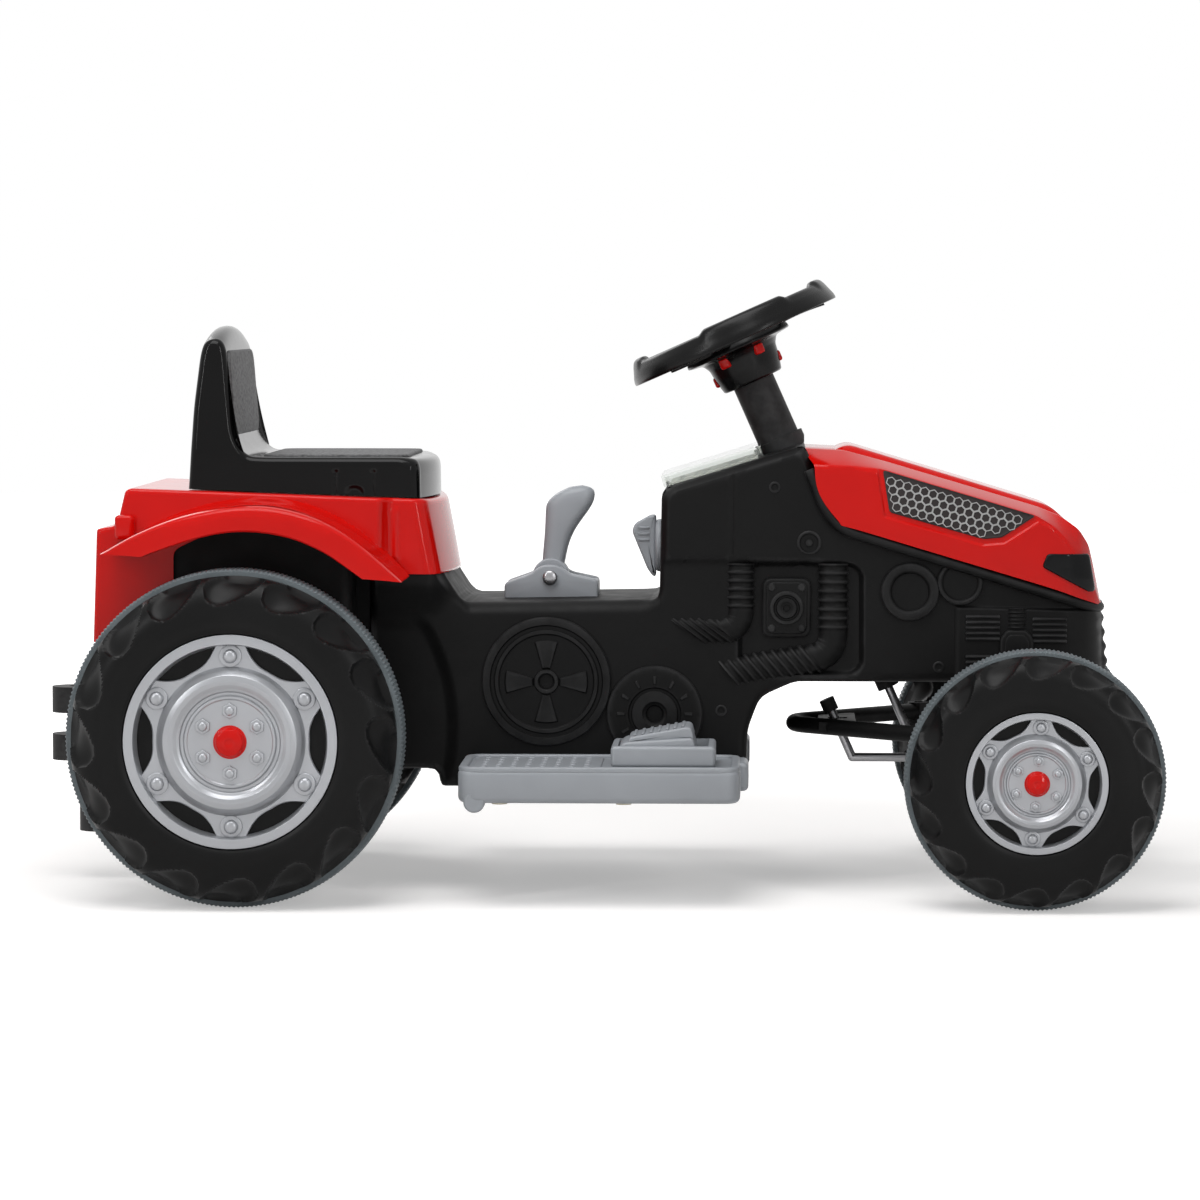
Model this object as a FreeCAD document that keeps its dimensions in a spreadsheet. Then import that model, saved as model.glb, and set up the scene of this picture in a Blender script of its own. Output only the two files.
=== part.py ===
import FreeCAD, Part
import math
import os
import re

import Sketcher

# A child's ride on tractor, in millimetres. +X is forward, +Y the tractor's left, +Z up.
# The origin lies on the ground under the middle of the bounding box.

V = FreeCAD.Vector

# Driving dimensions, one spreadsheet cell each

SIZES = {
    # whole tractor
    "wheelbase": 705,
    "hitch_reach": 194,
    "track_half": 200,
    "running_gap": 0.08,
    "moving_gap": 0.4,
    "overrun": 5,
    # rear wheels
    "rear_wheel_radius": 150,
    "rear_wheel_width": 100,
    "rear_band_height": 6,
    "rear_band_width": 36,
    "rear_sidewall_radius": 122,
    "rear_shoulder_depth": 24,
    "rear_scoop_length": 37,
    "rear_scoop_rise": 20,
    "rear_scoop_depth": 10,
    "rear_rim_radius": 94,
    "rear_rim_depth": 14,
    "rear_bolt_circle": 75,
    "rear_bolt_radius": 6,
    "rear_hub_bolt_circle": 27,
    "rear_hub_bolt_radius": 5,
    "rear_bolt_height": 4,
    "rear_cap_radius": 14,
    "rear_cap_height": 9,
    "rear_axle_radius": 6,
    # front wheels
    "front_wheel_radius": 115,
    "front_wheel_width": 84,
    "front_band_height": 5,
    "front_band_width": 30,
    "front_sidewall_radius": 92,
    "front_shoulder_depth": 20,
    "front_scoop_length": 28,
    "front_scoop_rise": 16,
    "front_scoop_depth": 8,
    "front_rim_radius": 62,
    "front_rim_depth": 12,
    "front_bolt_circle": 49,
    "front_bolt_radius": 4.2,
    "front_hub_bolt_circle": 19.5,
    "front_hub_bolt_radius": 3.6,
    "front_bolt_height": 3.2,
    "front_cap_radius": 10.5,
    "front_cap_height": 7.5,
    "front_axle_radius": 5,
    # parts that both wheel sizes share
    "tyre_wall": 4,
    "tread_wall": 9,
    "hub_tube_radius": 17,
    "scoop_count": 16,
    "stud_count": 6,
    "window_half_angle": 19,
    "window_foot_angle": 14,
    "vent_radius": 3,
    "axle_end": 3,
    # main body, side outline and walls
    "body_half_width": 96,
    "body_wall": 4,
    "body_edge_radius": 7,
    "block_front": 148,
    "rear_floor_z": 112,
    "belly_z": 96,
    "belly_rear": 173,
    "bay_front": 168,
    "neck_front": 187,
    "neck_z": 291,
    "tunnel_rear": 206,
    "tunnel_top_z": 262,
    "dash_rear": 332,
    "dash_rear_z": 366,
    "dash_front_z": 406,
    "hood_rear": 202,
    "hood_heel": 180,
    "hood_heel_z": 350,
    "hood_corner": 166,
    "hood_corner_z": 335,
    "nose_top": 65,
    "hood_tip_z": 264,
    "nose_bottom": 74,
    "front_floor_z": 192,
    "arch_front": 211,
    "arch_middle": 242,
    "arch_middle_z": 178,
    "arch_rear": 254,
    "arch_rear_z": 148,
    "rib_width": 9,
    "rib_proud": 11,
    "nose_ridge_radius": 6,
    "nose_ridge_pitch": 16,
    "nose_ridge_count": 4,
    # battery bay in the rear block
    "bay_length": 162,
    "bay_half_width": 70,
    "bay_floor_z": 252,
    # raised shapes moulded in the body's sides
    "relief_proud": 5,
    "flywheel_radius": 58,
    "flywheel_x": 435,
    "flywheel_z": 192,
    "flywheel_groove": 7,
    "flywheel_hub_radius": 8,
    "cover_radius": 43,
    "cover_x": 337,
    "cover_z": 170,
    "cover_ring_radius": 21,
    "groove_depth": 3,
    "pump_x": 218,
    "pump_z": 259,
    "pump_half_width": 22,
    "pump_half_height": 27,
    "pump_ring_radius": 14,
    "hose_radius": 11,
    "hose_rib_height": 2,
    "hose_rib_count": 6,
    "hose_x": 260,
    "hose_top_z": 293,
    "hose_drop": 41,
    "second_hose_x": 176,
    "second_hose_drop": 66,
    "pulley_radius": 26,
    "pulley_x": 107,
    "pulley_z": 274,
    "small_pulley_radius": 20,
    "small_pulley_x": 62,
    "small_pulley_z": 281,
    "louvre_length": 34,
    "louvre_height": 3,
    "louvre_pitch": 6,
    "louvre_count": 5,
    "louvre_x": 58,
    "louvre_z": 227,
    "second_louvre_x": 2,
    # red rear cover
    "cover_half_width": 130,
    "cover_wall": 3,
    "cover_tail": 137,
    "cover_tail_z": 229,
    "cover_step": 133,
    "cover_step_drop": 37,
    "deck_tail": 107,
    "deck_step": 11,
    "deck_front": 177,
    "skirt_front": 194,
    "skirt_z": 291,
    "skirt_rear": 64,
    "fender_gap": 56,
    "fender_rear": 118,
    "fender_rear_z": 312,
    "fender_crown": 11,
    "fender_front": 141,
    "fender_front_z": 292,
    "fender_lip": 23,
    "fender_half_width": 215,
    "fender_wall": 4,
    "deck_hole_length": 158,
    "deck_hole_half_width": 64,
    # hood
    "hood_half_width": 105,
    "hood_wall": 3,
    "hood_edge_radius": 24,
    "hood_nose_radius": 40,
    "hood_reach": 400,
    "hood_shoulder": 167,
    "hood_shoulder_z": 406,
    "hood_brow": 30,
    "hood_brow_z": 347,
    "hood_nose": 58,
    "hood_nose_z": 306,
    "hood_tip": 69,
    "insert_depth": 2,
    "grille_rear": 132,
    "grille_rear_z": 384,
    "grille_heel": 122,
    "grille_heel_z": 346,
    "grille_foot": 44,
    "grille_foot_z": 323,
    "grille_toe": 26,
    "grille_toe_z": 324,
    "grille_front": 5,
    "grille_front_z": 343,
    "grille_hex_radius": 4.6,
    "grille_hex_pitch": 9.8,
    "grille_margin": 6,
    "lamp_rear": 17,
    "lamp_front": 48,
    "lamp_top_z": 310,
    "lamp_heel": 11,
    "lamp_heel_z": 297,
    "lamp_toe": 54,
    "lamp_toe_z": 279,
    # seat
    "seat_inset": 5,
    "seat_tail": 49,
    "seat_front": 178,
    "seat_height": 28,
    "seat_wall": 4,
    "seat_corner_radius": 26,
    "back_height": 146,
    "back_lean": 10,
    "back_crown": 18,
    "back_thick": 26,
    "back_foot": 43,
    "back_bend": 16,
    "seat_nose": 14,
    "pad_margin": 20,
    "pad_thickness": 3,
    "pad_proud": 1,
    # footrests and pedal
    "footrest_front": 259,
    "footrest_rear_gap": 47,
    "footrest_top_z": 126,
    "footrest_bottom_z": 94,
    "footrest_half_width": 222,
    "footrest_wall": 3,
    "footrest_radius": 14,
    "footrest_edge": 5,
    "footrest_panel_length": 112,
    "footrest_panel_start": 14,
    "footrest_panel_margin": 16,
    "footrest_panel_depth": 1.5,
    "dimple_radius": 3,
    "dimple_rows": 5,
    "dimple_columns": 8,
    "screw_radius": 7,
    "screw_height": 3,
    "screw_boss": 9,
    "screw_start": 36,
    "screw_pitch": 110,
    "screw_inset": 28,
    "foot_lug_radius": 9,
    "foot_lug_length": 16,
    "foot_lug_start": 14,
    "housing_rear": 373,
    "housing_length": 92,
    "housing_height": 18,
    "housing_inset": 10,
    "housing_width": 82,
    "housing_wall": 5,
    "pedal_rise": 24,
    "pedal_length": 64,
    "pedal_heel": 10,
    "pedal_heel_height": 4,
    "pedal_pin_drop": 6,
    "pedal_toe_height": 7,
    "pedal_toe_lean": 8,
    "pedal_pin_radius": 2.5,
    # gear lever
    "lever_x": 435,
    "lever_pin_height": 20,
    "lever_pin_radius": 4,
    "lever_pin_head": 6,
    "lever_head_thick": 3,
    "lever_drum_radius": 17,
    "lever_half_width": 11,
    "lever_slot_half": 11.5,
    "bracket_half_width": 27,
    "bracket_rear": 42,
    "bracket_front": 44,
    "bracket_boss_radius": 11,
    "bracket_rear_height": 15,
    "bracket_rise_height": 24,
    "bracket_front_height": 18,
    "bracket_wall": 8,
    "handle_height": 84,
    "handle_neck": 9,
    "handle_rear": 4,
    "handle_front": 40,
    "handle_head": 14,
    "handle_radius": 5,
    # dash
    "card_start": 8,
    "card_length": 84,
    "card_half_width": 66,
    "card_thickness": 1.6,
    "lens_margin": 5,
    "lens_height": 11,
    "lens_wall": 2.5,
    "knob_y": 45,
    "knob_z": 313,
    "knob_radius": 24,
    "knob_base": 5,
    "knob_wing_depth": 22,
    "knob_wing_half": 8,
    "knob_wing_length": 28,
    "knob_shaft_radius": 5,
    # steering
    "steering_hub": 268.6,
    "steering_hub_z": 506,
    "column_tilt": 24,
    "wheel_radius": 100.7,
    "rim_width": 20,
    "rim_drop": 8.8,
    "rim_rise": 12,
    "spoke_half_width": 17,
    "spoke_thickness": 9,
    "hub_depth": 14,
    "hub_dip": 2,
    "hub_radius": 44,
    "spoke_count": 3,
    "drum_radius": 32,
    "drum_height": 33,
    "drum_wall": 4,
    "tube_radius": 19.5,
    "tube_stop": 4,
    "collar_rise": 10.5,
    "collar_height": 26,
    "collar_radius": 23,
    "rod_radius": 4,
    "crank_offset": 57,
    "crank_pin_rise": 54,
    "crank_cap_radius": 7,
    "crank_cap_height": 12,
    "crank_cap_grip": 7,
    "lower_bush_radius": 10,
    "lower_bush_length": 26,
    "button_radius": 20,
    "button_height": 9,
    "button_travel": 3,
    "lug_half": 5.5,
    "lug_proud": 0.8,
    "lug_depth": 20,
    "window_margin": 1,
    # front linkage
    "kingpin_y": 128,
    "kingpin_radius": 5,
    "kingpin_head_radius": 9,
    "kingpin_head_height": 6,
    "kingpin_drop": 15,
    "beam_half_length": 18,
    "beam_boss_radius": 16,
    "beam_bottom": 43,
    "knuckle_boss_radius": 12,
    "knuckle_arm": 92,
    "arm_half_width": 8,
    "arm_bottom": 12,
    "arm_top": 23,
    "stub_collar_radius": 10,
    "tie_radius": 7.5,
    "tie_height": 32,
    "tie_bend_radius": 36,
    "tie_tail": 39.35,
    "tie_eye_radius": 10,
    "tie_eye_gap": 0.3,
    "tie_eye_rise": 1,
    "tie_pin_radius": 4,
    "bridge_half_length": 17,
    "bridge_thickness": 9,
    "slot_side_gap": 1.4,
    "slot_front_gap": 6.5,
    "slot_rear_gap": 1.6,
    # drive
    "drive_teeth": 54,
    "idler_small_teeth": 14,
    "drive_module": 1,
    "idler_large_teeth": 42,
    "pinion_teeth": 12,
    "pinion_module": 0.9,
    "backlash": 0.3,
    "gear_width": 12,
    "gear_y": 52,
    "idler_angle": 35,
    "motor_angle": 5,
    "drive_sleeve_radius": 12,
    "idler_pin_radius": 4,
    "pinion_shaft_radius": 2,
    "stage_gap": 1,
    "motor_radius": 19,
    "motor_length": 62,
    "case_wall": 3,
    "case_gap": 2,
    # battery
    "battery_length": 150,
    "battery_width": 66,
    "battery_height": 94,
    # hitch
    "hitch_half_width": 20,
    "hitch_plate": 12,
    "hitch_plate_top_z": 196,
    "lug_thickness": 24,
    "upper_lug_z": 155,
    "lower_lug_z": 111,
    "foot_lug_z": 45,
    "foot_lug_inset": 25,
    "hitch_bore_radius": 6,
    "hitch_bore_inset": 22,
}

doc = FreeCAD.newDocument("RideOnTractor")
sheet = doc.addObject("Spreadsheet::Sheet", "Sizes")
for row, (alias, value) in enumerate(SIZES.items(), start=1):
    sheet.set(f"A{row}", alias)
    sheet.set(f"B{row}", str(value))
    sheet.setAlias(f"B{row}", alias)
doc.recompute()

pieces = {}


# Sizes and expressions

def size(expression):
    """Value of an expression written in the sheet's names."""
    return float(sheet.evalExpression(expression))


def linked(expression):
    """The same expression with each name pointing at its cell."""
    return re.sub(r"[a-z][a-z_0-9]*", lambda word: f"Sizes.{word.group(0)}"
                  if word.group(0) in SIZES else word.group(0), expression)


def bind(item, **sizes):
    """Ties properties of an object to expressions of the sheet."""
    for name, expression in sizes.items():
        item.setExpression(name, linked(expression))


def place(item, x="0", y="0", z="0", turn=None):
    """Puts an object at a point, turned first by an axis and an angle."""
    if turn:
        axis, angle = turn
        item.Placement = FreeCAD.Placement(V(0, 0, 0), FreeCAD.Rotation(axis, size(angle)))
    for name, expression in (("x", x), ("y", y), ("z", z)):
        if expression != "0":
            item.setExpression(f"Placement.Base.{name}", linked(expression))
    return item


def keep(name, item):
    """Names a finished sub-part; its label is its file's name."""
    item.Label = name
    pieces[name] = item
    return item


# Part primitives and booleans bound to the sheet

TO_X = (V(0, 1, 0), "90")
TO_Y = (V(1, 0, 0), "-90")


def box(x, y, z):
    """Box between two expressions on each axis."""
    item = doc.addObject("Part::Box", "box")
    bind(item, Length=f"({x[1]}) - ({x[0]})", Width=f"({y[1]}) - ({y[0]})", Height=f"({z[1]}) - ({z[0]})")
    return place(item, x[0], y[0], z[0])


def rod(radius, height, x="0", y="0", z="0", turn=None):
    """Cylinder that starts at a point and runs along Z, or along the turned Z."""
    item = doc.addObject("Part::Cylinder", "rod")
    bind(item, Radius=radius, Height=height)
    return place(item, x, y, z, turn)


def cone(foot, top, height, z="0"):
    """Truncated cone on the local Z axis."""
    item = doc.addObject("Part::Cone", "cone")
    bind(item, Radius1=foot, Radius2=top, Height=height)
    return place(item, z=z)


def ball(radius, x="0", y="0", z="0"):
    """Sphere round a point."""
    item = doc.addObject("Part::Sphere", "ball")
    bind(item, Radius=radius)
    return place(item, x, y, z)


def across(radius, half_length, x, z):
    """Cylinder along Y, the same on both sides of the middle plane."""
    return rod(radius, f"2 * ({half_length})", x, f"-({half_length})", z, TO_Y)


def joined(*items):
    """One solid from overlapping ones."""
    if len(items) == 1:
        return items[0]
    item = doc.addObject("Part::MultiFuse", "joined")
    item.Shapes = list(items)
    item.Refine = True
    return item


def less(base, *tools):
    """A solid with others taken away."""
    item = doc.addObject("Part::Cut", "less")
    item.Base = base
    item.Tool = joined(*tools)
    item.Refine = True
    return item


def common(*items):
    """What several shapes have in common."""
    item = doc.addObject("Part::MultiCommon", "common")
    item.Shapes = list(items)
    return item


def group(*items):
    """Separate solids that share one node."""
    item = doc.addObject("Part::Compound", "group")
    item.Links = list(items)
    return item


def turned(item, x, z, axis, angle, y="0"):
    """Wraps a finished solid so that it can be placed and turned as a whole."""
    holder = doc.addObject("Part::Compound", "turned")
    holder.Links = [item]
    return place(holder, x, y, z, (axis, angle))


# Sketches and PartDesign features bound to the sheet

def draw(sketch, points):
    """Closed outline. A point with four terms starts an arc that passes through the last two."""
    edges = []
    count = len(points)
    for index, point in enumerate(points):
        after = points[(index + 1) % count]
        start = V(size(point[0]), size(point[1]), 0)
        finish = V(size(after[0]), size(after[1]), 0)
        if len(point) == 4:
            curve = Part.Arc(start, V(size(point[2]), size(point[3]), 0), finish)
        else:
            curve = Part.LineSegment(start, finish)
        edge = sketch.addGeometry(curve)
        flipped = (sketch.getPoint(edge, 1) - start).Length > (sketch.getPoint(edge, 2) - start).Length
        edges.append((edge, 2, 1) if flipped else (edge, 1, 2))
    for index, point in enumerate(points):
        edge, head, tail = edges[index]
        after, after_head, after_tail = edges[(index + 1) % count]
        sketch.addConstraint(Sketcher.Constraint("Coincident", edge, tail, after, after_head))
        fix(sketch, edge, head, point[0], point[1])
        if len(point) == 4:
            middle = sketch.addGeometry(Part.Point(V(size(point[2]), size(point[3]), 0)), True)
            fix(sketch, middle, 1, point[2], point[3])
            sketch.addConstraint(Sketcher.Constraint("PointOnObject", middle, 1, edge))


def fix(sketch, edge, corner, x, y):
    """Ties one point of a sketch to two expressions."""
    for kind, expression in (("DistanceX", x), ("DistanceY", y)):
        number = sketch.addConstraint(
            Sketcher.Constraint(kind, -1, 1, edge, corner, size(expression)))
        sketch.setExpression(f"Constraints[{number}]", linked(expression))


def draw_circle(sketch, x, y, radius):
    """Circle tied to the sheet."""
    edge = sketch.addGeometry(Part.Circle(V(size(x), size(y), 0), V(0, 0, 1), size(radius)))
    fix(sketch, edge, 3, x, y)
    number = sketch.addConstraint(Sketcher.Constraint("Radius", edge, size(radius)))
    sketch.setExpression(f"Constraints[{number}]", linked(radius))


def new_body(name):
    return doc.addObject("PartDesign::Body", name)


def origin_part(body, role):
    return next(item for item in body.Origin.OriginFeatures if item.Role == role)


def new_sketch(body, plane, offset="0"):
    """Sketch on one of the body's own planes, moved along that plane's normal."""
    sketch = body.newObject("Sketcher::SketchObject", "outline")
    sketch.AttachmentSupport = [(origin_part(body, plane), "")]
    sketch.MapMode = "FlatFace"
    if offset != "0":
        sketch.setExpression("AttachmentOffset.Base.z", linked(offset))
    return sketch


def pad(body, sketch, length, reverse=False):
    item = body.newObject("PartDesign::Pad", "pad")
    item.Profile = sketch
    item.Reversed = reverse
    bind(item, Length=length)
    return item


def pocket(body, sketch, length, reverse=False):
    """Cuts a sketch into the body and makes sure that it took something away."""
    doc.recompute()
    before = body.Shape.Volume
    item = body.newObject("PartDesign::Pocket", "pocket")
    item.Profile = sketch
    item.Reversed = reverse
    bind(item, Length=length)
    doc.recompute()
    if body.Shape.Volume >= before:
        raise RuntimeError(f"pocket cuts nothing in {body.Label}")
    return item


def revolve(body, sketch, kind="PartDesign::Revolution"):
    """Turns a sketch once round its upright axis."""
    item = body.newObject(kind, "turned")
    item.Profile = sketch
    item.ReferenceAxis = (sketch, ["V_Axis"])
    item.Angle = 360
    return item


def around(body, feature, count):
    """Repeats a feature round the body's Y axis."""
    item = body.newObject("PartDesign::PolarPattern", "around")
    item.Originals = [feature]
    item.Axis = (origin_part(body, "Y_Axis"), [""])
    item.Angle = 360
    bind(item, Occurrences=count)
    body.Tip = item
    return item


def prism(name, plane, points, low, high):
    """Body padded from one outline between two planes."""
    body = new_body(name)
    offset = f"-({high})" if plane == "XZ_Plane" else low
    sketch = new_sketch(body, plane, offset)
    draw(sketch, points)
    pad(body, sketch, f"({high}) - ({low})")
    return body


def both_sides(name, points, half_width):
    """Body padded from a side outline to both sides of the middle plane."""
    return prism(name, "XZ_Plane", points, f"-({half_width})", half_width)


def rounded(body, radius, choose):
    """Fillets the body's edges that a test picks."""
    doc.recompute()
    base = body.Tip
    names = [f"Edge{number}" for number, edge in enumerate(base.Shape.Edges, start=1) if choose(edge)]
    item = body.newObject("PartDesign::Fillet", "rounded")
    item.Base = (base, names)
    bind(item, Radius=radius)
    return item


def in_plane(edge, axis, place_at):
    """True for an edge that lies in the plane where one coordinate has the given size."""
    box_of = edge.BoundBox
    low, high = {"x": (box_of.XMin, box_of.XMax), "y": (box_of.YMin, box_of.YMax),
                 "z": (box_of.ZMin, box_of.ZMax)}[axis]
    near = size("running_gap")
    return abs(low - place_at) < near and abs(high - place_at) < near


# Places that several pieces share

OVERALL_LENGTH = "(front_wheel_radius + wheelbase + hitch_reach)"
FRONT_X = f"({OVERALL_LENGTH} / 2 - front_wheel_radius)"
REAR_X = f"({FRONT_X} - wheelbase)"
FRONT_Z = "front_wheel_radius"
REAR_Z = "rear_wheel_radius"
FENDER_TOP_Z = "(2 * rear_wheel_radius + fender_gap)"
DECK_Z = f"({FENDER_TOP_Z} + deck_step)"
BLOCK_HALF_WIDTH = "(cover_half_width - cover_wall)"
RIGHT_TURN = (V(0, 0, 1), "180")
UPRIGHT_AXIS = V(0, 1, 0)


def fore(name):
    """X of a size measured back from the front axle."""
    return f"({FRONT_X} - {name})"


def ahead(name):
    """X of a size measured forward from the front axle."""
    return f"({FRONT_X} + {name})"


def behind(name):
    """X of a size measured back from the rear axle."""
    return f"({REAR_X} - {name})"


def before(name):
    """X of a size measured forward from the rear axle."""
    return f"({REAR_X} + {name})"


# Wheels: black tyre shell, grey tread band, silver disc and red hub cap, axis on local Y

SHOULDER_BULGE_SHARE = 0.72
SCOOP_SHARES = [(-0.5, -0.12), (-0.34, 0.72), (-0.05, 1), (0.27, 0.78), (0.5, -0.12)]
DISC_PROFILE_SHARES = [
    (1.0, 0.0), (1.0, 0.93), (0.925, 0.93), (0.9, 0.43), (0.9, 0.36), (0.7, 0.36), (0.68, 0.64),
    (0.63, 1.07), (0.565, 1.21), (0.5, 1.07), (0.47, 0.79), (0.447, 0.71), (0.425, 0.86),
]
WEB_HEIGHT_SHARE = 0.36
HUB_HEIGHT_SHARE = 0.86
WINDOW_OUTER_SHARE = 0.89
WINDOW_INNER_SHARE = 0.72
CAP_SIDE_SHARE = 0.35
CAP_BULGE_SHARE = 0.8
CAP_FLAT_SHARE = 0.3


def wheel_place(body, kind, side):
    """Stands a wheel piece on its axle; local +Y points out of the tractor."""
    x, z = (REAR_X, REAR_Z) if kind == "rear" else (FRONT_X, FRONT_Z)
    if side == "right":
        return place(body, x, "-track_half", z, RIGHT_TURN)
    return place(body, x, "track_half", z)


def tyre(kind, side):
    """Blow-moulded shell with scooped shoulders and a recess for the disc."""
    half = f"({kind}_wheel_width / 2)"
    tread = f"({kind}_wheel_radius - {kind}_band_height)"
    wall = f"{kind}_sidewall_radius"
    shoulder = f"({half} - {kind}_shoulder_depth)"
    bore = f"({kind}_axle_radius + running_gap)"
    floor = f"({half} - {kind}_rim_depth)"
    bulge_r = f"({wall} + {SHOULDER_BULGE_SHARE} * ({tread} - {wall}))"
    bulge_y = f"({half} - {1 - SHOULDER_BULGE_SHARE} * {kind}_shoulder_depth)"
    body = new_body(f"{kind}_tyre_{side}")
    sketch = new_sketch(body, "XY_Plane")
    draw(sketch, [
        (bore, f"-{half}"),
        (wall, f"-{half}"),
        (bulge_r, f"-{bulge_y}"),
        (tread, f"-{shoulder}"),
        (tread, shoulder),
        (bulge_r, bulge_y),
        (wall, half),
        (f"{kind}_rim_radius", half),
        (f"{kind}_rim_radius", floor),
        (bore, floor),
    ])
    revolve(body, sketch)
    inner = new_sketch(body, "XY_Plane")
    draw(inner, [
        ("hub_tube_radius", f"-({half} - tyre_wall)"),
        (f"{wall} - {kind}_scoop_depth", f"-({half} - tyre_wall)"),
        (f"{tread} - tread_wall", f"-({shoulder} - tread_wall)"),
        (f"{tread} - tread_wall", f"{shoulder} - tread_wall"),
        (f"{wall} - {kind}_scoop_depth", f"{half} - tyre_wall"),
        (f"{kind}_rim_radius + tyre_wall", f"{half} - tyre_wall"),
        (f"{kind}_rim_radius + tyre_wall", f"{floor} - tyre_wall"),
        ("hub_tube_radius", f"{floor} - tyre_wall"),
    ])
    revolve(body, inner, "PartDesign::Groove")
    for face, inward in ((f"-{half}", True), (half, False)):
        scoop = new_sketch(body, "XZ_Plane", face)
        draw(scoop, [(f"{along} * {kind}_scoop_length", f"{wall} + {up} * {kind}_scoop_rise")
                     for along, up in SCOOP_SHARES])
        cut = pocket(body, scoop, f"{kind}_scoop_depth", inward)
        around(body, cut, "scoop_count")
    vent = new_sketch(body, "XZ_Plane", half)
    draw_circle(vent, "0", f"{kind}_rim_radius / 2", "vent_radius")
    pocket(body, vent, "tyre_wall + overrun")
    return wheel_place(keep(body.Name, body), kind, side)


def tread_band(kind, side):
    """Rubber band round the middle of the tyre."""
    tread = f"({kind}_wheel_radius - {kind}_band_height)"
    edge = f"{kind}_band_width / 2"
    slope = f"({kind}_wheel_radius - {kind}_band_height / 4)"
    flat = f"({kind}_band_width / 2 - {kind}_band_height / 4)"
    body = new_body(f"{kind}_tread_band_{side}")
    sketch = new_sketch(body, "XY_Plane")
    draw(sketch, [
        (tread, f"-{edge}"), (slope, f"-{edge}"), (f"{kind}_wheel_radius", f"-{flat}"),
        (f"{kind}_wheel_radius", flat), (slope, edge), (tread, edge),
    ])
    revolve(body, sketch)
    return wheel_place(keep(body.Name, body), kind, side)


def disc_floor(kind):
    """Distance from the wheel's middle plane to the floor under the disc."""
    return f"({kind}_wheel_width / 2 - {kind}_rim_depth)"


def wheel_disc(kind, side):
    """Star-shaped disc with six windows, ear bolts and hub bolts."""
    floor = disc_floor(kind)
    rim = f"{kind}_rim_radius"
    bore = f"({kind}_axle_radius + running_gap)"
    body = new_body(f"{kind}_disc_{side}")
    sketch = new_sketch(body, "XY_Plane")
    hub_face = f"{floor} + {HUB_HEIGHT_SHARE} * {kind}_rim_depth"
    profile = [(f"{r} * {rim}", f"{floor} + {h} * {kind}_rim_depth") for r, h in DISC_PROFILE_SHARES]
    draw(sketch, [(bore, floor)] + profile + [(bore, hub_face)])
    revolve(body, sketch)
    window = new_sketch(body, "XZ_Plane", f"-({floor} + {kind}_rim_depth)")
    outer = f"({WINDOW_OUTER_SHARE} * {rim})"
    inner = f"({WINDOW_INNER_SHARE} * {rim})"
    draw(window, [
        (f"-{outer} * sin(window_half_angle)", f"{outer} * cos(window_half_angle)", "0", outer),
        (f"{outer} * sin(window_half_angle)", f"{outer} * cos(window_half_angle)"),
        (f"{inner} * sin(window_foot_angle)", f"{inner} * cos(window_foot_angle)", "0", inner),
        (f"-{inner} * sin(window_foot_angle)", f"{inner} * cos(window_foot_angle)"),
    ])
    cut = pocket(body, window, f"{kind}_rim_depth", True)
    around(body, cut, "stud_count")
    half_step = "180 / stud_count"
    for circle, radius, share in (("bolt_circle", "bolt_radius", WEB_HEIGHT_SHARE),
                                  ("hub_bolt_circle", "hub_bolt_radius", HUB_HEIGHT_SHARE)):
        face = f"{floor} + {share} * {kind}_rim_depth"
        stud = new_sketch(body, "XZ_Plane", f"-({face})")
        draw_circle(stud, f"{kind}_{circle} * sin({half_step})",
                    f"{kind}_{circle} * cos({half_step})", f"{kind}_{radius}")
        around(body, pad(body, stud, f"{kind}_bolt_height", True), "stud_count")
    return wheel_place(keep(body.Name, body), kind, side)


def hub_cap(kind, side):
    """Domed cap over the end of the axle."""
    face = f"({disc_floor(kind)} + {HUB_HEIGHT_SHARE} * {kind}_rim_depth)"
    radius = f"{kind}_cap_radius"
    height = f"{kind}_cap_height"
    bore = f"({kind}_axle_radius + moving_gap)"
    roof = f"({face} + axle_end + moving_gap)"
    body = new_body(f"{kind}_hub_cap_{side}")
    sketch = new_sketch(body, "XY_Plane")
    draw(sketch, [
        (bore, face), (radius, face),
        (radius, f"{face} + {CAP_SIDE_SHARE} * {height}",
         f"{CAP_BULGE_SHARE} * {radius}", f"{face} + {CAP_BULGE_SHARE} * {height}"),
        (f"{CAP_FLAT_SHARE} * {radius}", f"{face} + {height}"), ("0", f"{face} + {height}"),
        ("0", roof), (bore, roof),
    ])
    revolve(body, sketch)
    return wheel_place(keep(body.Name, body), kind, side)


def wheels():
    for kind in ("rear", "front"):
        for side in ("right", "left"):
            tyre(kind, side)
            tread_band(kind, side)
            wheel_disc(kind, side)
            hub_cap(kind, side)


def axle_end(kind):
    """Distance from the middle plane of the tractor to the outer end of an axle."""
    return f"(track_half + {disc_floor(kind)} + {HUB_HEIGHT_SHARE} * {kind}_rim_depth + axle_end)"


# Rear axle and its bushes

WHEEL_INNER_Y = "(track_half - rear_wheel_width / 2)"


def rear_axle():
    keep("rear_axle", across("rear_axle_radius", axle_end("rear"), REAR_X, REAR_Z))


def bush(radius, bore, low, high):
    """Sleeve on the rear axle between two planes."""
    length = f"({high}) - ({low})"
    outer = rod(radius, length, REAR_X, low, REAR_Z, TO_Y)
    hole = rod(bore, f"{length} + 2 * overrun", REAR_X, f"({low}) - overrun", REAR_Z, TO_Y)
    return less(outer, hole)


def axle_bushes():
    right = bush("hub_tube_radius", "rear_axle_radius",
                 f"-({WHEEL_INNER_Y} - moving_gap)", f"-{BLOCK_HALF_WIDTH}")
    left = bush("hub_tube_radius", "drive_sleeve_radius + running_gap",
                BLOCK_HALF_WIDTH, f"{WHEEL_INNER_Y} - moving_gap")
    keep("axle_bushes", group(right, left))


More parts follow.
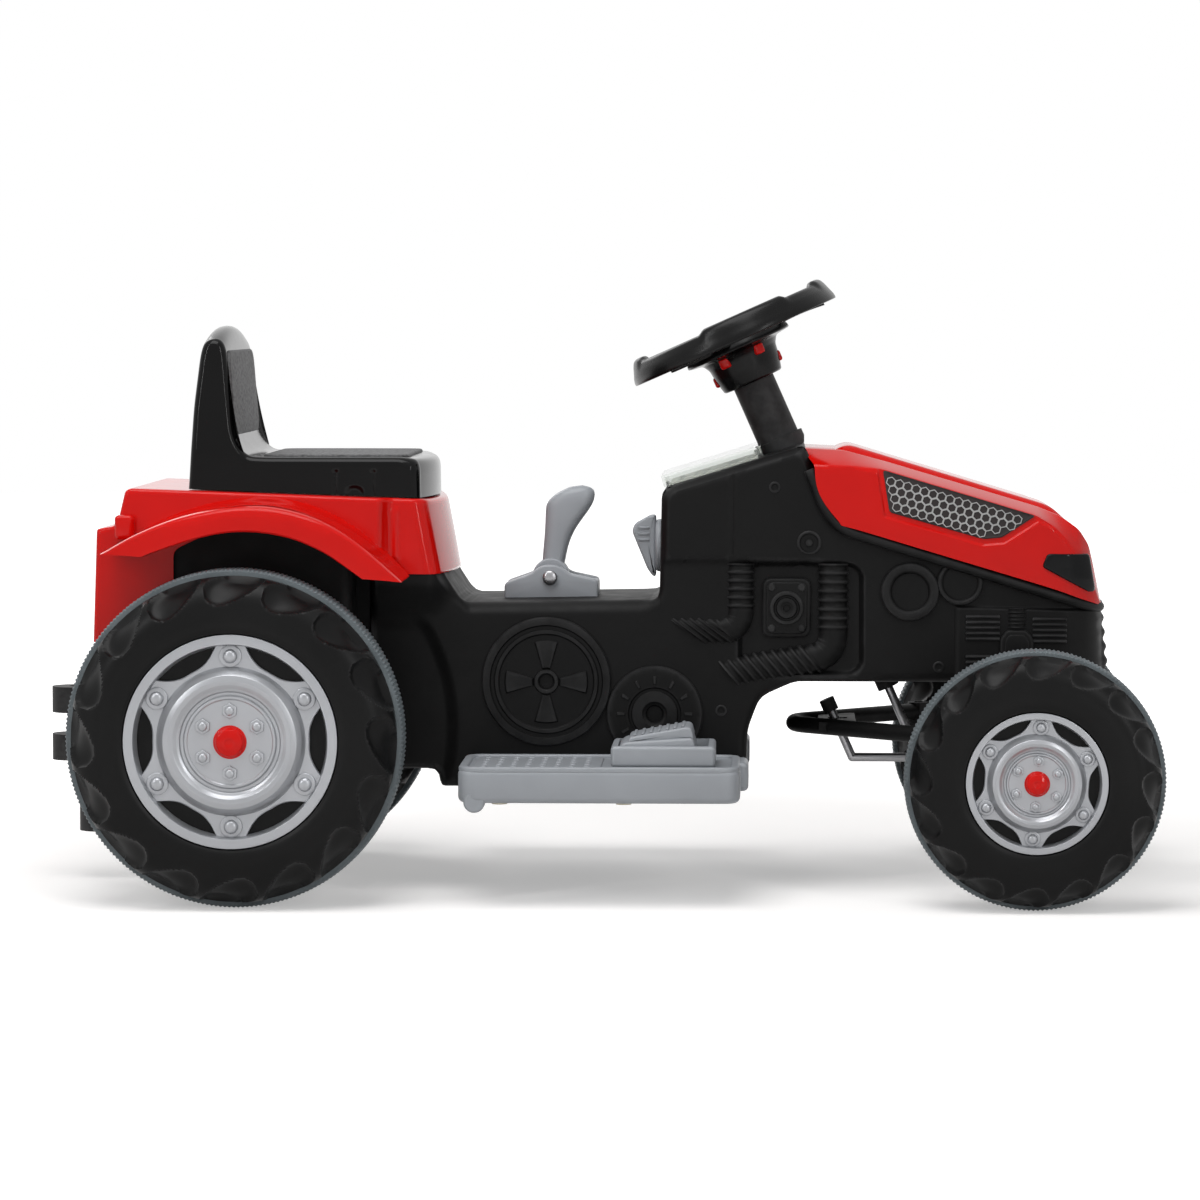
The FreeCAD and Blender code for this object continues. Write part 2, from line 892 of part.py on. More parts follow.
# Main body: hollow blow-moulded block with the engine shapes raised on both sides

BODY_TOP_Z = f"({DECK_Z} - cover_wall)"
BODY_TAIL_X = f"({behind('deck_tail')} + cover_wall)"
DASH_SLOPE = "((dash_front_z - dash_rear_z) / (dash_rear - hood_rear))"
SLOPE_ANGLE = f"atan({DASH_SLOPE})"
BAY_REAR_X = f"({before('bay_front')} - body_wall - bay_length)"


def body_outline(inset):
    """Side outline of the body; every wall stands in from the skin by the inset."""
    return [
        (f"{BODY_TAIL_X} + {inset}", f"rear_floor_z + {inset}"),
        (f"{BODY_TAIL_X} + {inset}", f"{BODY_TOP_Z} - {inset}"),
        (f"{before('bay_front')} - {inset}", f"{BODY_TOP_Z} - {inset}"),
        (f"{before('neck_front')} - {inset}", f"neck_z - {inset}"),
        (f"{before('tunnel_rear')} - {inset}", f"tunnel_top_z - {inset}"),
        (f"{fore('dash_rear')} + {inset}", f"tunnel_top_z - {inset}"),
        (f"{fore('dash_rear')} + {inset}", f"dash_rear_z - {inset}"),
        (f"{fore('hood_rear')} - {inset}", f"dash_front_z - {inset}"),
        (f"{fore('hood_heel')} - {inset}", f"hood_heel_z - {inset}"),
        (f"{fore('hood_corner')} - {inset}", f"hood_corner_z - {inset}"),
        (f"{ahead('nose_top')} - {inset}", f"hood_tip_z - {inset}"),
        (f"{ahead('nose_bottom')} - {inset}", f"front_floor_z + {inset}"),
        (f"{fore('arch_front')} - {inset}", f"front_floor_z + {inset}"),
        (f"{fore('arch_middle')} - {inset}", f"arch_middle_z + {inset}"),
        (f"{fore('arch_rear')} - {inset}", f"arch_rear_z + {inset}"),
        (f"{fore('arch_rear')} - {inset}", f"belly_z + {inset}"),
        (f"{before('belly_rear')} + {inset}", f"belly_z + {inset}"),
        (f"{before('belly_rear')} + {inset}", f"rear_floor_z + {inset}"),
    ]


def body_skin():
    """Outer block with its side edges rounded."""
    block = both_sides("body_block", body_outline("0"), "body_half_width")
    width = size("body_half_width")
    rounded(block, "body_edge_radius", lambda edge: in_plane(edge, "y", width) or in_plane(edge, "y", -width))
    return block


def rear_block():
    """Wide part between the rear wheels, which carries the cover."""
    return box((BODY_TAIL_X, before("block_front")),
               (f"-{BLOCK_HALF_WIDTH}", BLOCK_HALF_WIDTH), ("rear_floor_z", BODY_TOP_Z))


def hood_rib():
    """Raised edge that follows the hood's rear and lower edges."""
    return both_sides("hood_rib", [
        (f"{fore('hood_rear')} - rib_width", "dash_front_z - rib_width / 2"),
        (fore("hood_rear"), "dash_front_z"),
        (fore("hood_heel"), "hood_heel_z"),
        (fore("hood_corner"), "hood_corner_z"),
        (ahead("nose_top"), "hood_tip_z"),
        (ahead("nose_top"), "hood_tip_z - rib_width"),
        (f"{fore('hood_corner')} - rib_width / 2", "hood_corner_z - rib_width"),
        (f"{fore('hood_heel')} - rib_width", "hood_heel_z - rib_width / 2"),
    ], "body_half_width + rib_proud")


def raised(radius, x, z, proud="relief_proud"):
    """Round boss that stands out of both sides of the body."""
    return across(radius, f"body_half_width + {proud}", x, z)


def hose(x, drop):
    """Upright ribbed hose moulded on both sides."""
    core = [rod("hose_radius - hose_rib_height", drop, x, f"{side}body_half_width", f"hose_top_z - {drop}")
            for side in ("", "-")]
    pitch = f"({drop} / hose_rib_count)"
    ribs = [rod("hose_radius", f"{pitch} / 2", x, f"{side}body_half_width",
                f"hose_top_z - ({number} + 1) * {pitch}")
            for side in ("", "-") for number in range(int(SIZES["hose_rib_count"]))]
    return core + ribs


def louvres(x):
    """Stack of flat bars on both sides."""
    half = "body_half_width + relief_proud / 2"
    feet = [f"(louvre_z + {number} * louvre_pitch)" for number in range(int(SIZES["louvre_count"]))]
    return [box((x, f"{x} + louvre_length"), (f"-({half})", half), (foot, f"{foot} + louvre_height"))
            for foot in feet]


def reliefs():
    """Engine shapes that stand out of the body's sides."""
    pump_x = fore("pump_x")
    shapes = [
        raised("flywheel_radius", fore("flywheel_x"), "flywheel_z"),
        raised("cover_radius", fore("cover_x"), "cover_z"),
        raised("pulley_radius", fore("pulley_x"), "pulley_z"),
        raised("small_pulley_radius", fore("small_pulley_x"), "small_pulley_z"),
        box((f"{pump_x} - pump_half_width", f"{pump_x} + pump_half_width"),
            ("-(body_half_width + relief_proud)", "body_half_width + relief_proud"),
            ("pump_z - pump_half_height", "pump_z + pump_half_height")),
        raised("pump_ring_radius", pump_x, "pump_z", "2 * relief_proud"),
    ]
    shapes += hose(fore("hose_x"), "hose_drop") + hose(fore("second_hose_x"), "second_hose_drop")
    shapes += louvres(fore("louvre_x")) + louvres(ahead("second_louvre_x"))
    shapes += [across("nose_ridge_radius", "body_half_width - 2 * body_edge_radius",
                      f"{ahead('nose_bottom')} - 2 * nose_ridge_radius / 3",
                      f"front_floor_z + ({number} + 1) * nose_ridge_pitch - nose_ridge_radius / 2")
               for number in range(int(SIZES["nose_ridge_count"]))]
    return shapes


def ring_groove(outer, inner, x, z):
    """Round groove in the raised discs of both sides."""
    reach = "body_half_width + relief_proud + overrun"
    floor = "body_half_width + relief_proud - groove_depth"
    rings = []
    for start in (f"-({reach})", floor):
        length = f"({reach}) - ({floor})"
        rings.append(less(rod(outer, length, x, start, z, TO_Y), rod(inner, length, x, start, z, TO_Y)))
    return rings


def grooves():
    """Round grooves and centre holes of the flywheel, the round cover and the pulleys."""
    cuts = ring_groove("flywheel_radius - flywheel_groove / 2", "flywheel_radius - 2 * flywheel_groove",
                       fore("flywheel_x"), "flywheel_z")
    cuts += ring_groove("flywheel_hub_radius", "flywheel_hub_radius / 4", fore("flywheel_x"), "flywheel_z")
    cuts += ring_groove("cover_radius - flywheel_groove", "cover_ring_radius", fore("cover_x"), "cover_z")
    cuts += ring_groove("pulley_radius - flywheel_groove / 2", "pulley_radius - 3 * flywheel_groove / 2",
                        fore("pulley_x"), "pulley_z")
    cuts += ring_groove("small_pulley_radius - flywheel_groove / 2", "small_pulley_radius / 2",
                        fore("small_pulley_x"), "small_pulley_z")
    return cuts


def bay_tray():
    """Walls and floor of the battery bay, hung from the block's top."""
    return box((f"{BAY_REAR_X} - body_wall", before("bay_front")),
               ("-(bay_half_width + body_wall)", "bay_half_width + body_wall"),
               ("bay_floor_z - body_wall", f"{BODY_TOP_Z} - body_wall / 2"))


def main_body():
    skin = joined(body_skin(), rear_block(), hood_rib(), *reliefs())
    hollow = both_sides("body_hollow", body_outline("body_wall"), "body_half_width - body_wall")
    block_hollow = box((f"{BODY_TAIL_X} + body_wall", f"{before('block_front')} - body_wall"),
                       (f"-({BLOCK_HALF_WIDTH} - body_wall)", f"{BLOCK_HALF_WIDTH} - body_wall"),
                       ("rear_floor_z + body_wall", f"{BODY_TOP_Z} - body_wall"))
    shell = joined(less(skin, hollow, block_hollow, *grooves()), bay_tray())
    bay = box((BAY_REAR_X, f"{BAY_REAR_X} + bay_length"), ("-bay_half_width", "bay_half_width"),
              ("bay_floor_z", f"{BODY_TOP_Z} + overrun"))
    axle_hole = rod("rear_axle_radius", f"{BLOCK_HALF_WIDTH} + overrun", REAR_X,
                    f"-({BLOCK_HALF_WIDTH} + overrun)", REAR_Z, TO_Y)
    sleeve_hole = rod("drive_sleeve_radius + moving_gap", f"{BLOCK_HALF_WIDTH} + overrun", REAR_X,
                      "0", REAR_Z, TO_Y)
    knob_hole = rod("knob_shaft_radius + running_gap", "body_wall + 2 * overrun",
                    f"{fore('dash_rear')} - overrun", "-knob_y", "knob_z", TO_X)
    keep("main_body", less(shell, bay, axle_hole, sleeve_hole, knob_hole,
                           rod_space(), lower_bush_space()))


# Red rear cover: deck, skirts and two fenders

def cover_outline(wall, floor):
    """Side outline of the cover's hollow or skin."""
    return [
        (f"{behind('cover_tail')} + {wall}", floor),
        (f"{behind('cover_step')} + {wall}", f"{DECK_Z} - cover_step_drop"),
        (f"{behind('deck_tail')} + {wall} / 2", f"{DECK_Z} - {wall}"),
        (f"{before('deck_front')} - {wall}", f"{DECK_Z} - {wall}"),
        (f"{before('skirt_front')} - {wall}", "skirt_z"),
    ]


FENDER_REAR = (behind("fender_rear"), "fender_rear_z")
FENDER_FRONT = (before("fender_front"), "fender_front_z")
FENDER_CROWN_X = before("fender_crown")


def fender(side):
    """Arched sheet over one wheel with a crescent lip along its outer edge."""
    low, high = ("-fender_half_width", f"-{BLOCK_HALF_WIDTH}") if side == "right" else \
        (BLOCK_HALF_WIDTH, "fender_half_width")
    sheet_part = prism(f"fender_sheet_{side}", "XZ_Plane", [
        FENDER_REAR + (FENDER_CROWN_X, FENDER_TOP_Z),
        FENDER_FRONT,
        (f"{FENDER_FRONT[0]} - fender_wall", f"{FENDER_FRONT[1]} - fender_wall / 2",
         FENDER_CROWN_X, f"{FENDER_TOP_Z} - fender_wall"),
        (f"{FENDER_REAR[0]} + fender_wall", f"{FENDER_REAR[1]} - fender_wall / 2"),
    ], low, high)
    lip_low, lip_high = (low, f"{low} + fender_wall") if side == "right" else (f"{high} - fender_wall", high)
    lip = prism(f"fender_lip_{side}", "XZ_Plane", [
        FENDER_REAR + (FENDER_CROWN_X, FENDER_TOP_Z),
        FENDER_FRONT + (FENDER_CROWN_X, f"{FENDER_TOP_Z} - fender_lip"),
    ], lip_low, lip_high)
    return [sheet_part, lip]


def rear_cover():
    skin = both_sides("cover_skin", cover_outline("0", "cover_tail_z") + [
        (before("fender_front"), "skirt_z", FENDER_CROWN_X, f"{FENDER_TOP_Z} - fender_lip"),
        (behind("skirt_rear"), f"{FENDER_TOP_Z} - 2 * fender_lip"),
        (behind("skirt_rear"), "cover_tail_z"),
    ], "cover_half_width")
    hollow = both_sides("cover_hollow", cover_outline("cover_wall", "0") + [
        (f"{before('skirt_front')} - cover_wall", "0"),
    ], BLOCK_HALF_WIDTH)
    hole_front = f"{before('bay_front')} - body_wall"
    deck_hole = box((f"{hole_front} - deck_hole_length", hole_front),
                    ("-deck_hole_half_width", "deck_hole_half_width"),
                    (f"{DECK_Z} - cover_wall - overrun", f"{DECK_Z} + overrun"))
    keep("rear_cover", less(joined(less(skin, hollow), *fender("right"), *fender("left")), deck_hole))


# Red hood with its grilles and headlights

HOOD_TOP = [
    (fore("hood_rear"), "dash_front_z"),
    (fore("hood_shoulder"), "hood_shoulder_z"),
    (ahead("hood_brow"), "hood_brow_z", ahead("hood_nose"), "hood_nose_z"),
    (ahead("hood_tip"), "hood_tip_z"),
]
GRILLE = [
    (fore("grille_rear"), "grille_rear_z"),
    (fore("grille_heel"), "grille_heel_z"),
    (fore("grille_foot"), "grille_foot_z"),
    (fore("grille_toe"), "grille_toe_z"),
    (ahead("grille_front"), "grille_front_z"),
]
LAMP = [
    (ahead("lamp_rear"), "lamp_top_z"),
    (ahead("lamp_heel"), "lamp_heel_z"),
    (ahead("lamp_toe"), "lamp_toe_z"),
    (ahead("lamp_front"), "lamp_top_z"),
]


def side_plates(name, points, thickness):
    """The same plate in the hood's right and left sides, flush with the skin."""
    right = prism(f"{name}_right", "XZ_Plane", points, "-hood_half_width", f"-hood_half_width + {thickness}")
    left = prism(f"{name}_left", "XZ_Plane", points, f"hood_half_width - {thickness}", "hood_half_width")
    return right, left


def hood_block(name, wall, top_points, half_width):
    """Side outline trimmed by a ridge with rounded edges and by a rounded nose in plan."""
    block = both_sides(f"{name}_side", top_points, half_width)
    edge = f"(hood_edge_radius - {wall})"
    corner = f"({half_width} - {edge} + {edge} * cos(45))"
    roof = f"(-{edge} + {edge} * sin(45))"
    ridge = prism(f"{name}_ridge", "YZ_Plane", [
        (f"-{half_width}", "-hood_reach"),
        (half_width, "-hood_reach"),
        (half_width, f"-{edge}", corner, roof),
        (f"{half_width} - {edge}", "0"),
        (f"-({half_width} - {edge})", "0", f"-{corner}", roof),
        (f"-{half_width}", f"-{edge}"),
    ], "-hood_reach", "hood_reach")
    slope = "atan((hood_shoulder_z - hood_brow_z) / (hood_shoulder + hood_brow))"
    place(ridge, fore("hood_shoulder"), z=f"hood_shoulder_z - {wall}", turn=(UPRIGHT_AXIS, slope))
    tip = f"({ahead('hood_tip')} - {wall})"
    nose = f"(hood_nose_radius - {wall})"
    bulge = f"({half_width} - {nose} + {nose} * cos(45))"
    front = f"({tip} - {nose} + {nose} * sin(45))"
    plan = prism(f"{name}_plan", "XY_Plane", [
        (f"{tip} - hood_reach", f"-{half_width}"),
        (f"{tip} - {nose}", f"-{half_width}", front, f"-{bulge}"),
        (tip, f"-({half_width} - {nose})"),
        (tip, f"{half_width} - {nose}", front, bulge),
        (f"{tip} - {nose}", half_width),
        (f"{tip} - hood_reach", half_width),
    ], "0", "2 * hood_reach")
    return common(block, ridge, plan)


def hood():
    skin = hood_block("hood_skin", "0", HOOD_TOP + [
        (ahead("nose_top"), "hood_tip_z"),
        (fore("hood_corner"), "hood_corner_z"),
        (fore("hood_heel"), "hood_heel_z"),
    ], "hood_half_width")
    hollow = hood_block("hood_hollow", "hood_wall", [
        (f"{fore('hood_rear')} - overrun", "dash_front_z - hood_wall"),
        (fore("hood_shoulder"), "hood_shoulder_z - hood_wall"),
        (f"{ahead('hood_brow')} - hood_wall", "hood_brow_z - hood_wall",
         f"{ahead('hood_nose')} - hood_wall", "hood_nose_z - hood_wall"),
        (f"{ahead('hood_tip')} - hood_wall", "hood_tip_z"),
        (f"{ahead('hood_tip')} - hood_wall", "hood_tip_z - overrun"),
        (f"{fore('hood_rear')} - overrun", "hood_tip_z - overrun"),
    ], "(hood_half_width - hood_wall)")
    openings = side_plates("grille_opening", GRILLE, "hood_wall")
    openings += side_plates("lamp_opening", LAMP, "hood_wall")
    keep("hood", less(skin, hollow, *openings))


GRILLE_ROW_SHARE = 0.866


def hex_pockets(low, high):
    """Staggered six-sided pockets over the grille's upright box."""
    left, right = size(GRILLE[0][0]), size(GRILLE[4][0])
    bottom, top = size(GRILLE[2][1]), size(GRILLE[0][1])
    pitch, radius = size("grille_hex_pitch"), size("grille_hex_radius")
    field = Part.Face(Part.makePolygon([V(size(x), size(low), size(z)) for x, z in GRILLE + GRILLE[:1]]))
    inner = field.makeOffset2D(-size("grille_margin"))
    cells = []
    for row in range(int((top - bottom) / (pitch * GRILLE_ROW_SHARE)) + 1):
        for column in range(int((right - left) / pitch) + 2):
            x = left + (column + (row % 2) / 2) * pitch
            z = bottom + row * pitch * GRILLE_ROW_SHARE
            if not inner.isInside(V(x, size(low), z), size("running_gap"), True):
                continue
            corners = [V(x + radius * math.sin(math.radians(60 * k)), size(low),
                         z + radius * math.cos(math.radians(60 * k))) for k in range(7)]
            cells.append(Part.Face(Part.makePolygon(corners)).extrude(V(0, size(high) - size(low), 0)))
    item = doc.addObject("Part::Feature", "hex_pockets")
    item.Shape = Part.makeCompound(cells)
    return item


def hood_grilles():
    """Honeycomb plates that fill the hood's side openings."""
    right, left = side_plates("grille_plate", GRILLE, "hood_wall")
    right_cells = hex_pockets("-hood_half_width - overrun", "-hood_half_width + insert_depth")
    left_cells = hex_pockets("hood_half_width - insert_depth", "hood_half_width + overrun")
    keep("hood_grilles", group(less(right, right_cells), less(left, left_cells)))


def headlights():
    keep("headlights", group(*side_plates("lamp_plate", LAMP, "hood_wall")))


# Seat: shell that lifts off, with two grained inserts

CORNER_SHARE = 0.293
SEAT_TAIL_X = behind("seat_tail")
SEAT_FRONT_X = before("seat_front")
SEAT_TOP_Z = f"({DECK_Z} + seat_height)"
SEAT_HALF_WIDTH = "(cover_half_width - seat_inset)"
PAD_HALF_WIDTH = f"({SEAT_HALF_WIDTH} - pad_margin)"
BACK_TOP_Z = f"({DECK_Z} + back_height)"
BEND_SHARE = 0.3
BACK_PAD_SHARES = (0.06, 0.9)


def seat_shell():
    crown_z = f"({BACK_TOP_Z} - back_crown)"
    shell = both_sides("seat_block", [
        (SEAT_TAIL_X, DECK_Z),
        (f"{SEAT_TAIL_X} + back_lean", crown_z, f"{SEAT_TAIL_X} + back_lean + back_thick / 2", BACK_TOP_Z),
        (f"{SEAT_TAIL_X} + back_lean + back_thick", crown_z),
        (f"{SEAT_TAIL_X} + back_foot", f"{SEAT_TOP_Z} + back_bend",
         f"{SEAT_TAIL_X} + back_foot + {BEND_SHARE} * back_bend", f"{SEAT_TOP_Z} + {BEND_SHARE} * back_bend"),
        (f"{SEAT_TAIL_X} + back_foot + back_bend", SEAT_TOP_Z),
        (f"{SEAT_FRONT_X} - seat_nose", SEAT_TOP_Z,
         f"{SEAT_FRONT_X} - {BEND_SHARE} * seat_nose", f"{SEAT_TOP_Z} - {BEND_SHARE} * seat_nose"),
        (SEAT_FRONT_X, f"{SEAT_TOP_Z} - seat_nose"),
        (SEAT_FRONT_X, DECK_Z),
    ], SEAT_HALF_WIDTH)
    skin = "(seat_wall + pad_thickness)"
    hollow = both_sides("seat_hollow", [
        (f"{SEAT_TAIL_X} + seat_wall", f"{DECK_Z} - overrun"),
        (f"{SEAT_TAIL_X} + back_lean + seat_wall", crown_z),
        (f"{SEAT_TAIL_X} + back_lean + back_thick - {skin}", crown_z),
        (f"{SEAT_TAIL_X} + back_foot - {skin}", f"{SEAT_TOP_Z} - {skin}"),
        (f"{SEAT_FRONT_X} - seat_nose - seat_wall", f"{SEAT_TOP_Z} - {skin}"),
        (f"{SEAT_FRONT_X} - seat_wall", f"{SEAT_TOP_Z} - seat_nose - seat_wall"),
        (f"{SEAT_FRONT_X} - seat_wall", f"{DECK_Z} - overrun"),
    ], f"{SEAT_HALF_WIDTH} - seat_wall")
    keep("seat_shell", less(common(shell, seat_front_view()), hollow,
                            seat_plate("overrun"), back_plate("overrun")))


def seat_front_view():
    """Outline of the backrest seen from the front, with round top corners."""
    straight = f"({SEAT_HALF_WIDTH} - seat_corner_radius)"
    bent_y = f"({SEAT_HALF_WIDTH} - {CORNER_SHARE} * seat_corner_radius)"
    bent_z = f"({BACK_TOP_Z} - {CORNER_SHARE} * seat_corner_radius)"
    return prism("seat_front_view", "YZ_Plane", [
        (f"-{SEAT_HALF_WIDTH}", f"{DECK_Z} - overrun"),
        (SEAT_HALF_WIDTH, f"{DECK_Z} - overrun"),
        (SEAT_HALF_WIDTH, f"{BACK_TOP_Z} - seat_corner_radius", bent_y, bent_z),
        (straight, BACK_TOP_Z),
        (f"-{straight}", BACK_TOP_Z, f"-{bent_y}", bent_z),
        (f"-{SEAT_HALF_WIDTH}", f"{BACK_TOP_Z} - seat_corner_radius"),
    ], f"{SEAT_TAIL_X} - overrun", f"{SEAT_FRONT_X} + overrun")


def seat_plate(proud):
    """Insert in the seat's top, as a plate or as the space for it."""
    return box((f"{SEAT_TAIL_X} + back_foot + back_bend + seat_nose / 2", f"{SEAT_FRONT_X} - pad_margin"),
               (f"-{PAD_HALF_WIDTH}", PAD_HALF_WIDTH),
               (f"{SEAT_TOP_Z} - pad_thickness", f"{SEAT_TOP_Z} + {proud}"))


def back_plate(proud):
    """Insert in the backrest's leaning front face, as a plate or as the space for it."""
    foot = (f"({SEAT_TAIL_X} + back_foot)", f"({SEAT_TOP_Z} + back_bend)")
    head = (f"({SEAT_TAIL_X} + back_lean + back_thick)", f"({BACK_TOP_Z} - back_crown)")
    low, high = [tuple(f"({a} + {share} * ({b} - {a}))" for a, b in zip(foot, head))
                 for share in BACK_PAD_SHARES]
    return both_sides("back_plate", [
        (f"{low[0]} + {proud}", low[1]), (f"{high[0]} + {proud}", high[1]),
        (f"{high[0]} - pad_thickness", high[1]), (f"{low[0]} - pad_thickness", low[1]),
    ], PAD_HALF_WIDTH)


def seat_pads():
    keep("seat_pad", seat_plate("pad_proud"))
    keep("backrest_pad", back_plate("pad_proud"))


# Footrests, pedal housing and accelerator pedal

FOOTREST_REAR_X = f"({REAR_X} + rear_wheel_radius + footrest_rear_gap)"
FOOTREST_FRONT_X = fore("footrest_front")


def footrest(side):
    """Hollow step with a dimpled panel, screw bosses and a lug under its rear end."""
    sign = "-" if side == "right" else ""
    outer = f"{sign}footrest_half_width"
    soft = f"{sign}(footrest_half_width - footrest_radius)"
    bent = f"{sign}(footrest_half_width - {CORNER_SHARE} * footrest_radius)"
    inner = f"{sign}body_half_width"
    step = prism(f"step_{side}", "XY_Plane", [
        (FOOTREST_REAR_X, inner),
        (FOOTREST_REAR_X, soft, f"{FOOTREST_REAR_X} + {CORNER_SHARE} * footrest_radius", bent),
        (f"{FOOTREST_REAR_X} + footrest_radius", outer),
        (f"{FOOTREST_FRONT_X} - footrest_radius", outer,
         f"{FOOTREST_FRONT_X} - {CORNER_SHARE} * footrest_radius", bent),
        (FOOTREST_FRONT_X, soft),
        (FOOTREST_FRONT_X, inner),
    ], "footrest_bottom_z", "footrest_top_z")
    top, wall_y = size("footrest_top_z"), size(inner)
    rounded(step, "footrest_edge", lambda edge: in_plane(edge, "z", top) and not in_plane(edge, "y", wall_y))
    span = [f"{sign}(footrest_half_width - footrest_wall)", f"{sign}(body_half_width + footrest_wall)"]
    panel = [f"{sign}(footrest_half_width - footrest_panel_margin)",
             f"{sign}(body_half_width + footrest_panel_margin)"]
    if side == "left":
        span.reverse()
        panel.reverse()
    under = box((f"{FOOTREST_REAR_X} + footrest_wall", f"{FOOTREST_FRONT_X} - footrest_wall"), span,
                ("footrest_bottom_z - overrun", "footrest_top_z - footrest_wall - footrest_panel_depth"))
    panel_x = f"({FOOTREST_REAR_X} + footrest_panel_start)"
    recess = box((panel_x, f"{panel_x} + footrest_panel_length"), panel,
                 ("footrest_top_z - footrest_panel_depth", "footrest_top_z + overrun"))
    dimples = []
    for column in range(int(SIZES["dimple_columns"])):
        for row in range(int(SIZES["dimple_rows"])):
            dimples.append(rod(
                "dimple_radius", "2 * footrest_panel_depth",
                f"{panel_x} + ({column} + 1 / 2) * footrest_panel_length / dimple_columns",
                f"{panel[0]} + ({row} + 1 / 2) * (({panel[1]}) - ({panel[0]})) / dimple_rows",
                "footrest_top_z - 2 * footrest_panel_depth"))
    boss_height = "footrest_top_z - footrest_wall - footrest_bottom_z"
    bosses = [rod("screw_boss", boss_height, x, y, "footrest_bottom_z") for x, y in screw_places(side)]
    lug_y = "footrest_wall / 3 - footrest_half_width" if side == "right" else \
        "footrest_half_width - footrest_wall / 3 - foot_lug_length"
    lug = rod("foot_lug_radius", "foot_lug_length", f"{FOOTREST_REAR_X} + foot_lug_start", lug_y,
              "footrest_bottom_z", TO_Y)
    keep(f"footrest_{side}", joined(less(step, under, recess), *dimples, *bosses, lug))


def screw_places(side):
    """Plan positions of one footrest's screws."""
    sign = "-" if side == "right" else ""
    return [(f"{FOOTREST_REAR_X} + screw_start + {number} * screw_pitch",
             f"{sign}(footrest_half_width - screw_inset)") for number in range(2)]


def footrest_screws():
    heads = [rod("screw_radius", "screw_height", x, y, "footrest_bottom_z - screw_height")
             for side in ("right", "left") for x, y in screw_places(side)]
    keep("footrest_screws", group(*heads))


HOUSING_X = fore("housing_rear")
HOUSING_Y = "(housing_inset - footrest_half_width)"
PEDAL_X = f"({HOUSING_X} + pedal_heel)"
PEDAL_Z = "(footrest_top_z + housing_height - pedal_pin_drop)"


def pedal_pin(radius, overhang):
    """Hinge pin of the pedal, or the hole for it."""
    start = f"{HOUSING_Y} - ({overhang})"
    return rod(radius, f"housing_width + 2 * ({overhang})", PEDAL_X, start, PEDAL_Z, TO_Y)


def pedal_housing():
    wall = "housing_wall"
    outer = box((HOUSING_X, f"{HOUSING_X} + housing_length"), (HOUSING_Y, f"{HOUSING_Y} + housing_width"),
                ("footrest_top_z", "footrest_top_z + housing_height"))
    well = box((f"{HOUSING_X} + {wall}", f"{HOUSING_X} + housing_length - {wall}"),
               (f"{HOUSING_Y} + {wall}", f"{HOUSING_Y} + housing_width - {wall}"),
               ("footrest_top_z - overrun", "footrest_top_z + housing_height + overrun"))
    keep("pedal_housing", less(outer, well, pedal_pin("pedal_pin_radius + running_gap", "overrun")))


def pedal_pad():
    side = "(housing_wall + moving_gap)"
    pad_part = prism("pedal_wedge", "XZ_Plane", [
        (f"{PEDAL_X} - pedal_heel_height", f"{PEDAL_Z} - pedal_heel_height"),
        (f"{PEDAL_X} - pedal_heel_height", f"{PEDAL_Z} + pedal_heel_height"),
        (f"{PEDAL_X} + pedal_length - pedal_toe_lean", f"{PEDAL_Z} + pedal_rise"),
        (f"{PEDAL_X} + pedal_length", f"{PEDAL_Z} + pedal_toe_height"),
        (f"{PEDAL_X} + pedal_length", f"{PEDAL_Z}"),
    ], f"{HOUSING_Y} + {side}", f"{HOUSING_Y} + housing_width - {side}")
    keep("pedal_pad", joined(pad_part, pedal_pin("pedal_pin_radius", "0")))


# Gear lever in its bracket on the tunnel

LEVER_X = fore("lever_x")
LEVER_Z = "(tunnel_top_z + lever_pin_height)"
NECK_SHARE = 0.27
CHIN_SHARE = 0.57


def gear_bracket():
    frame_part = both_sides("bracket_block", [
        (f"{LEVER_X} - bracket_rear", "tunnel_top_z"),
        (f"{LEVER_X} - bracket_rear", "tunnel_top_z + bracket_rear_height"),
        (f"{LEVER_X} - lever_drum_radius", "tunnel_top_z + bracket_rise_height"),
        (f"{LEVER_X} + lever_drum_radius", "tunnel_top_z + bracket_rise_height"),
        (f"{LEVER_X} + bracket_front", "tunnel_top_z + bracket_front_height"),
        (f"{LEVER_X} + bracket_front", "tunnel_top_z"),
    ], "bracket_half_width")
    boss = across("bracket_boss_radius", "bracket_half_width", LEVER_X, LEVER_Z)
    slot = box((f"{LEVER_X} - bracket_rear + bracket_wall", f"{LEVER_X} + bracket_front - bracket_wall"),
               ("-lever_slot_half", "lever_slot_half"),
               ("tunnel_top_z - overrun", f"{LEVER_Z} + bracket_boss_radius + overrun"))
    hole = across("lever_pin_radius", "bracket_half_width + overrun", LEVER_X, LEVER_Z)
    keep("gear_bracket", less(joined(frame_part, boss), slot, hole))


def gear_pin():
    heads = [rod("lever_pin_head", "lever_head_thick", LEVER_X, y, LEVER_Z, TO_Y)
             for y in ("-bracket_half_width - lever_head_thick", "bracket_half_width")]
    keep("gear_pin", joined(across("lever_pin_radius", "bracket_half_width", LEVER_X, LEVER_Z), *heads))


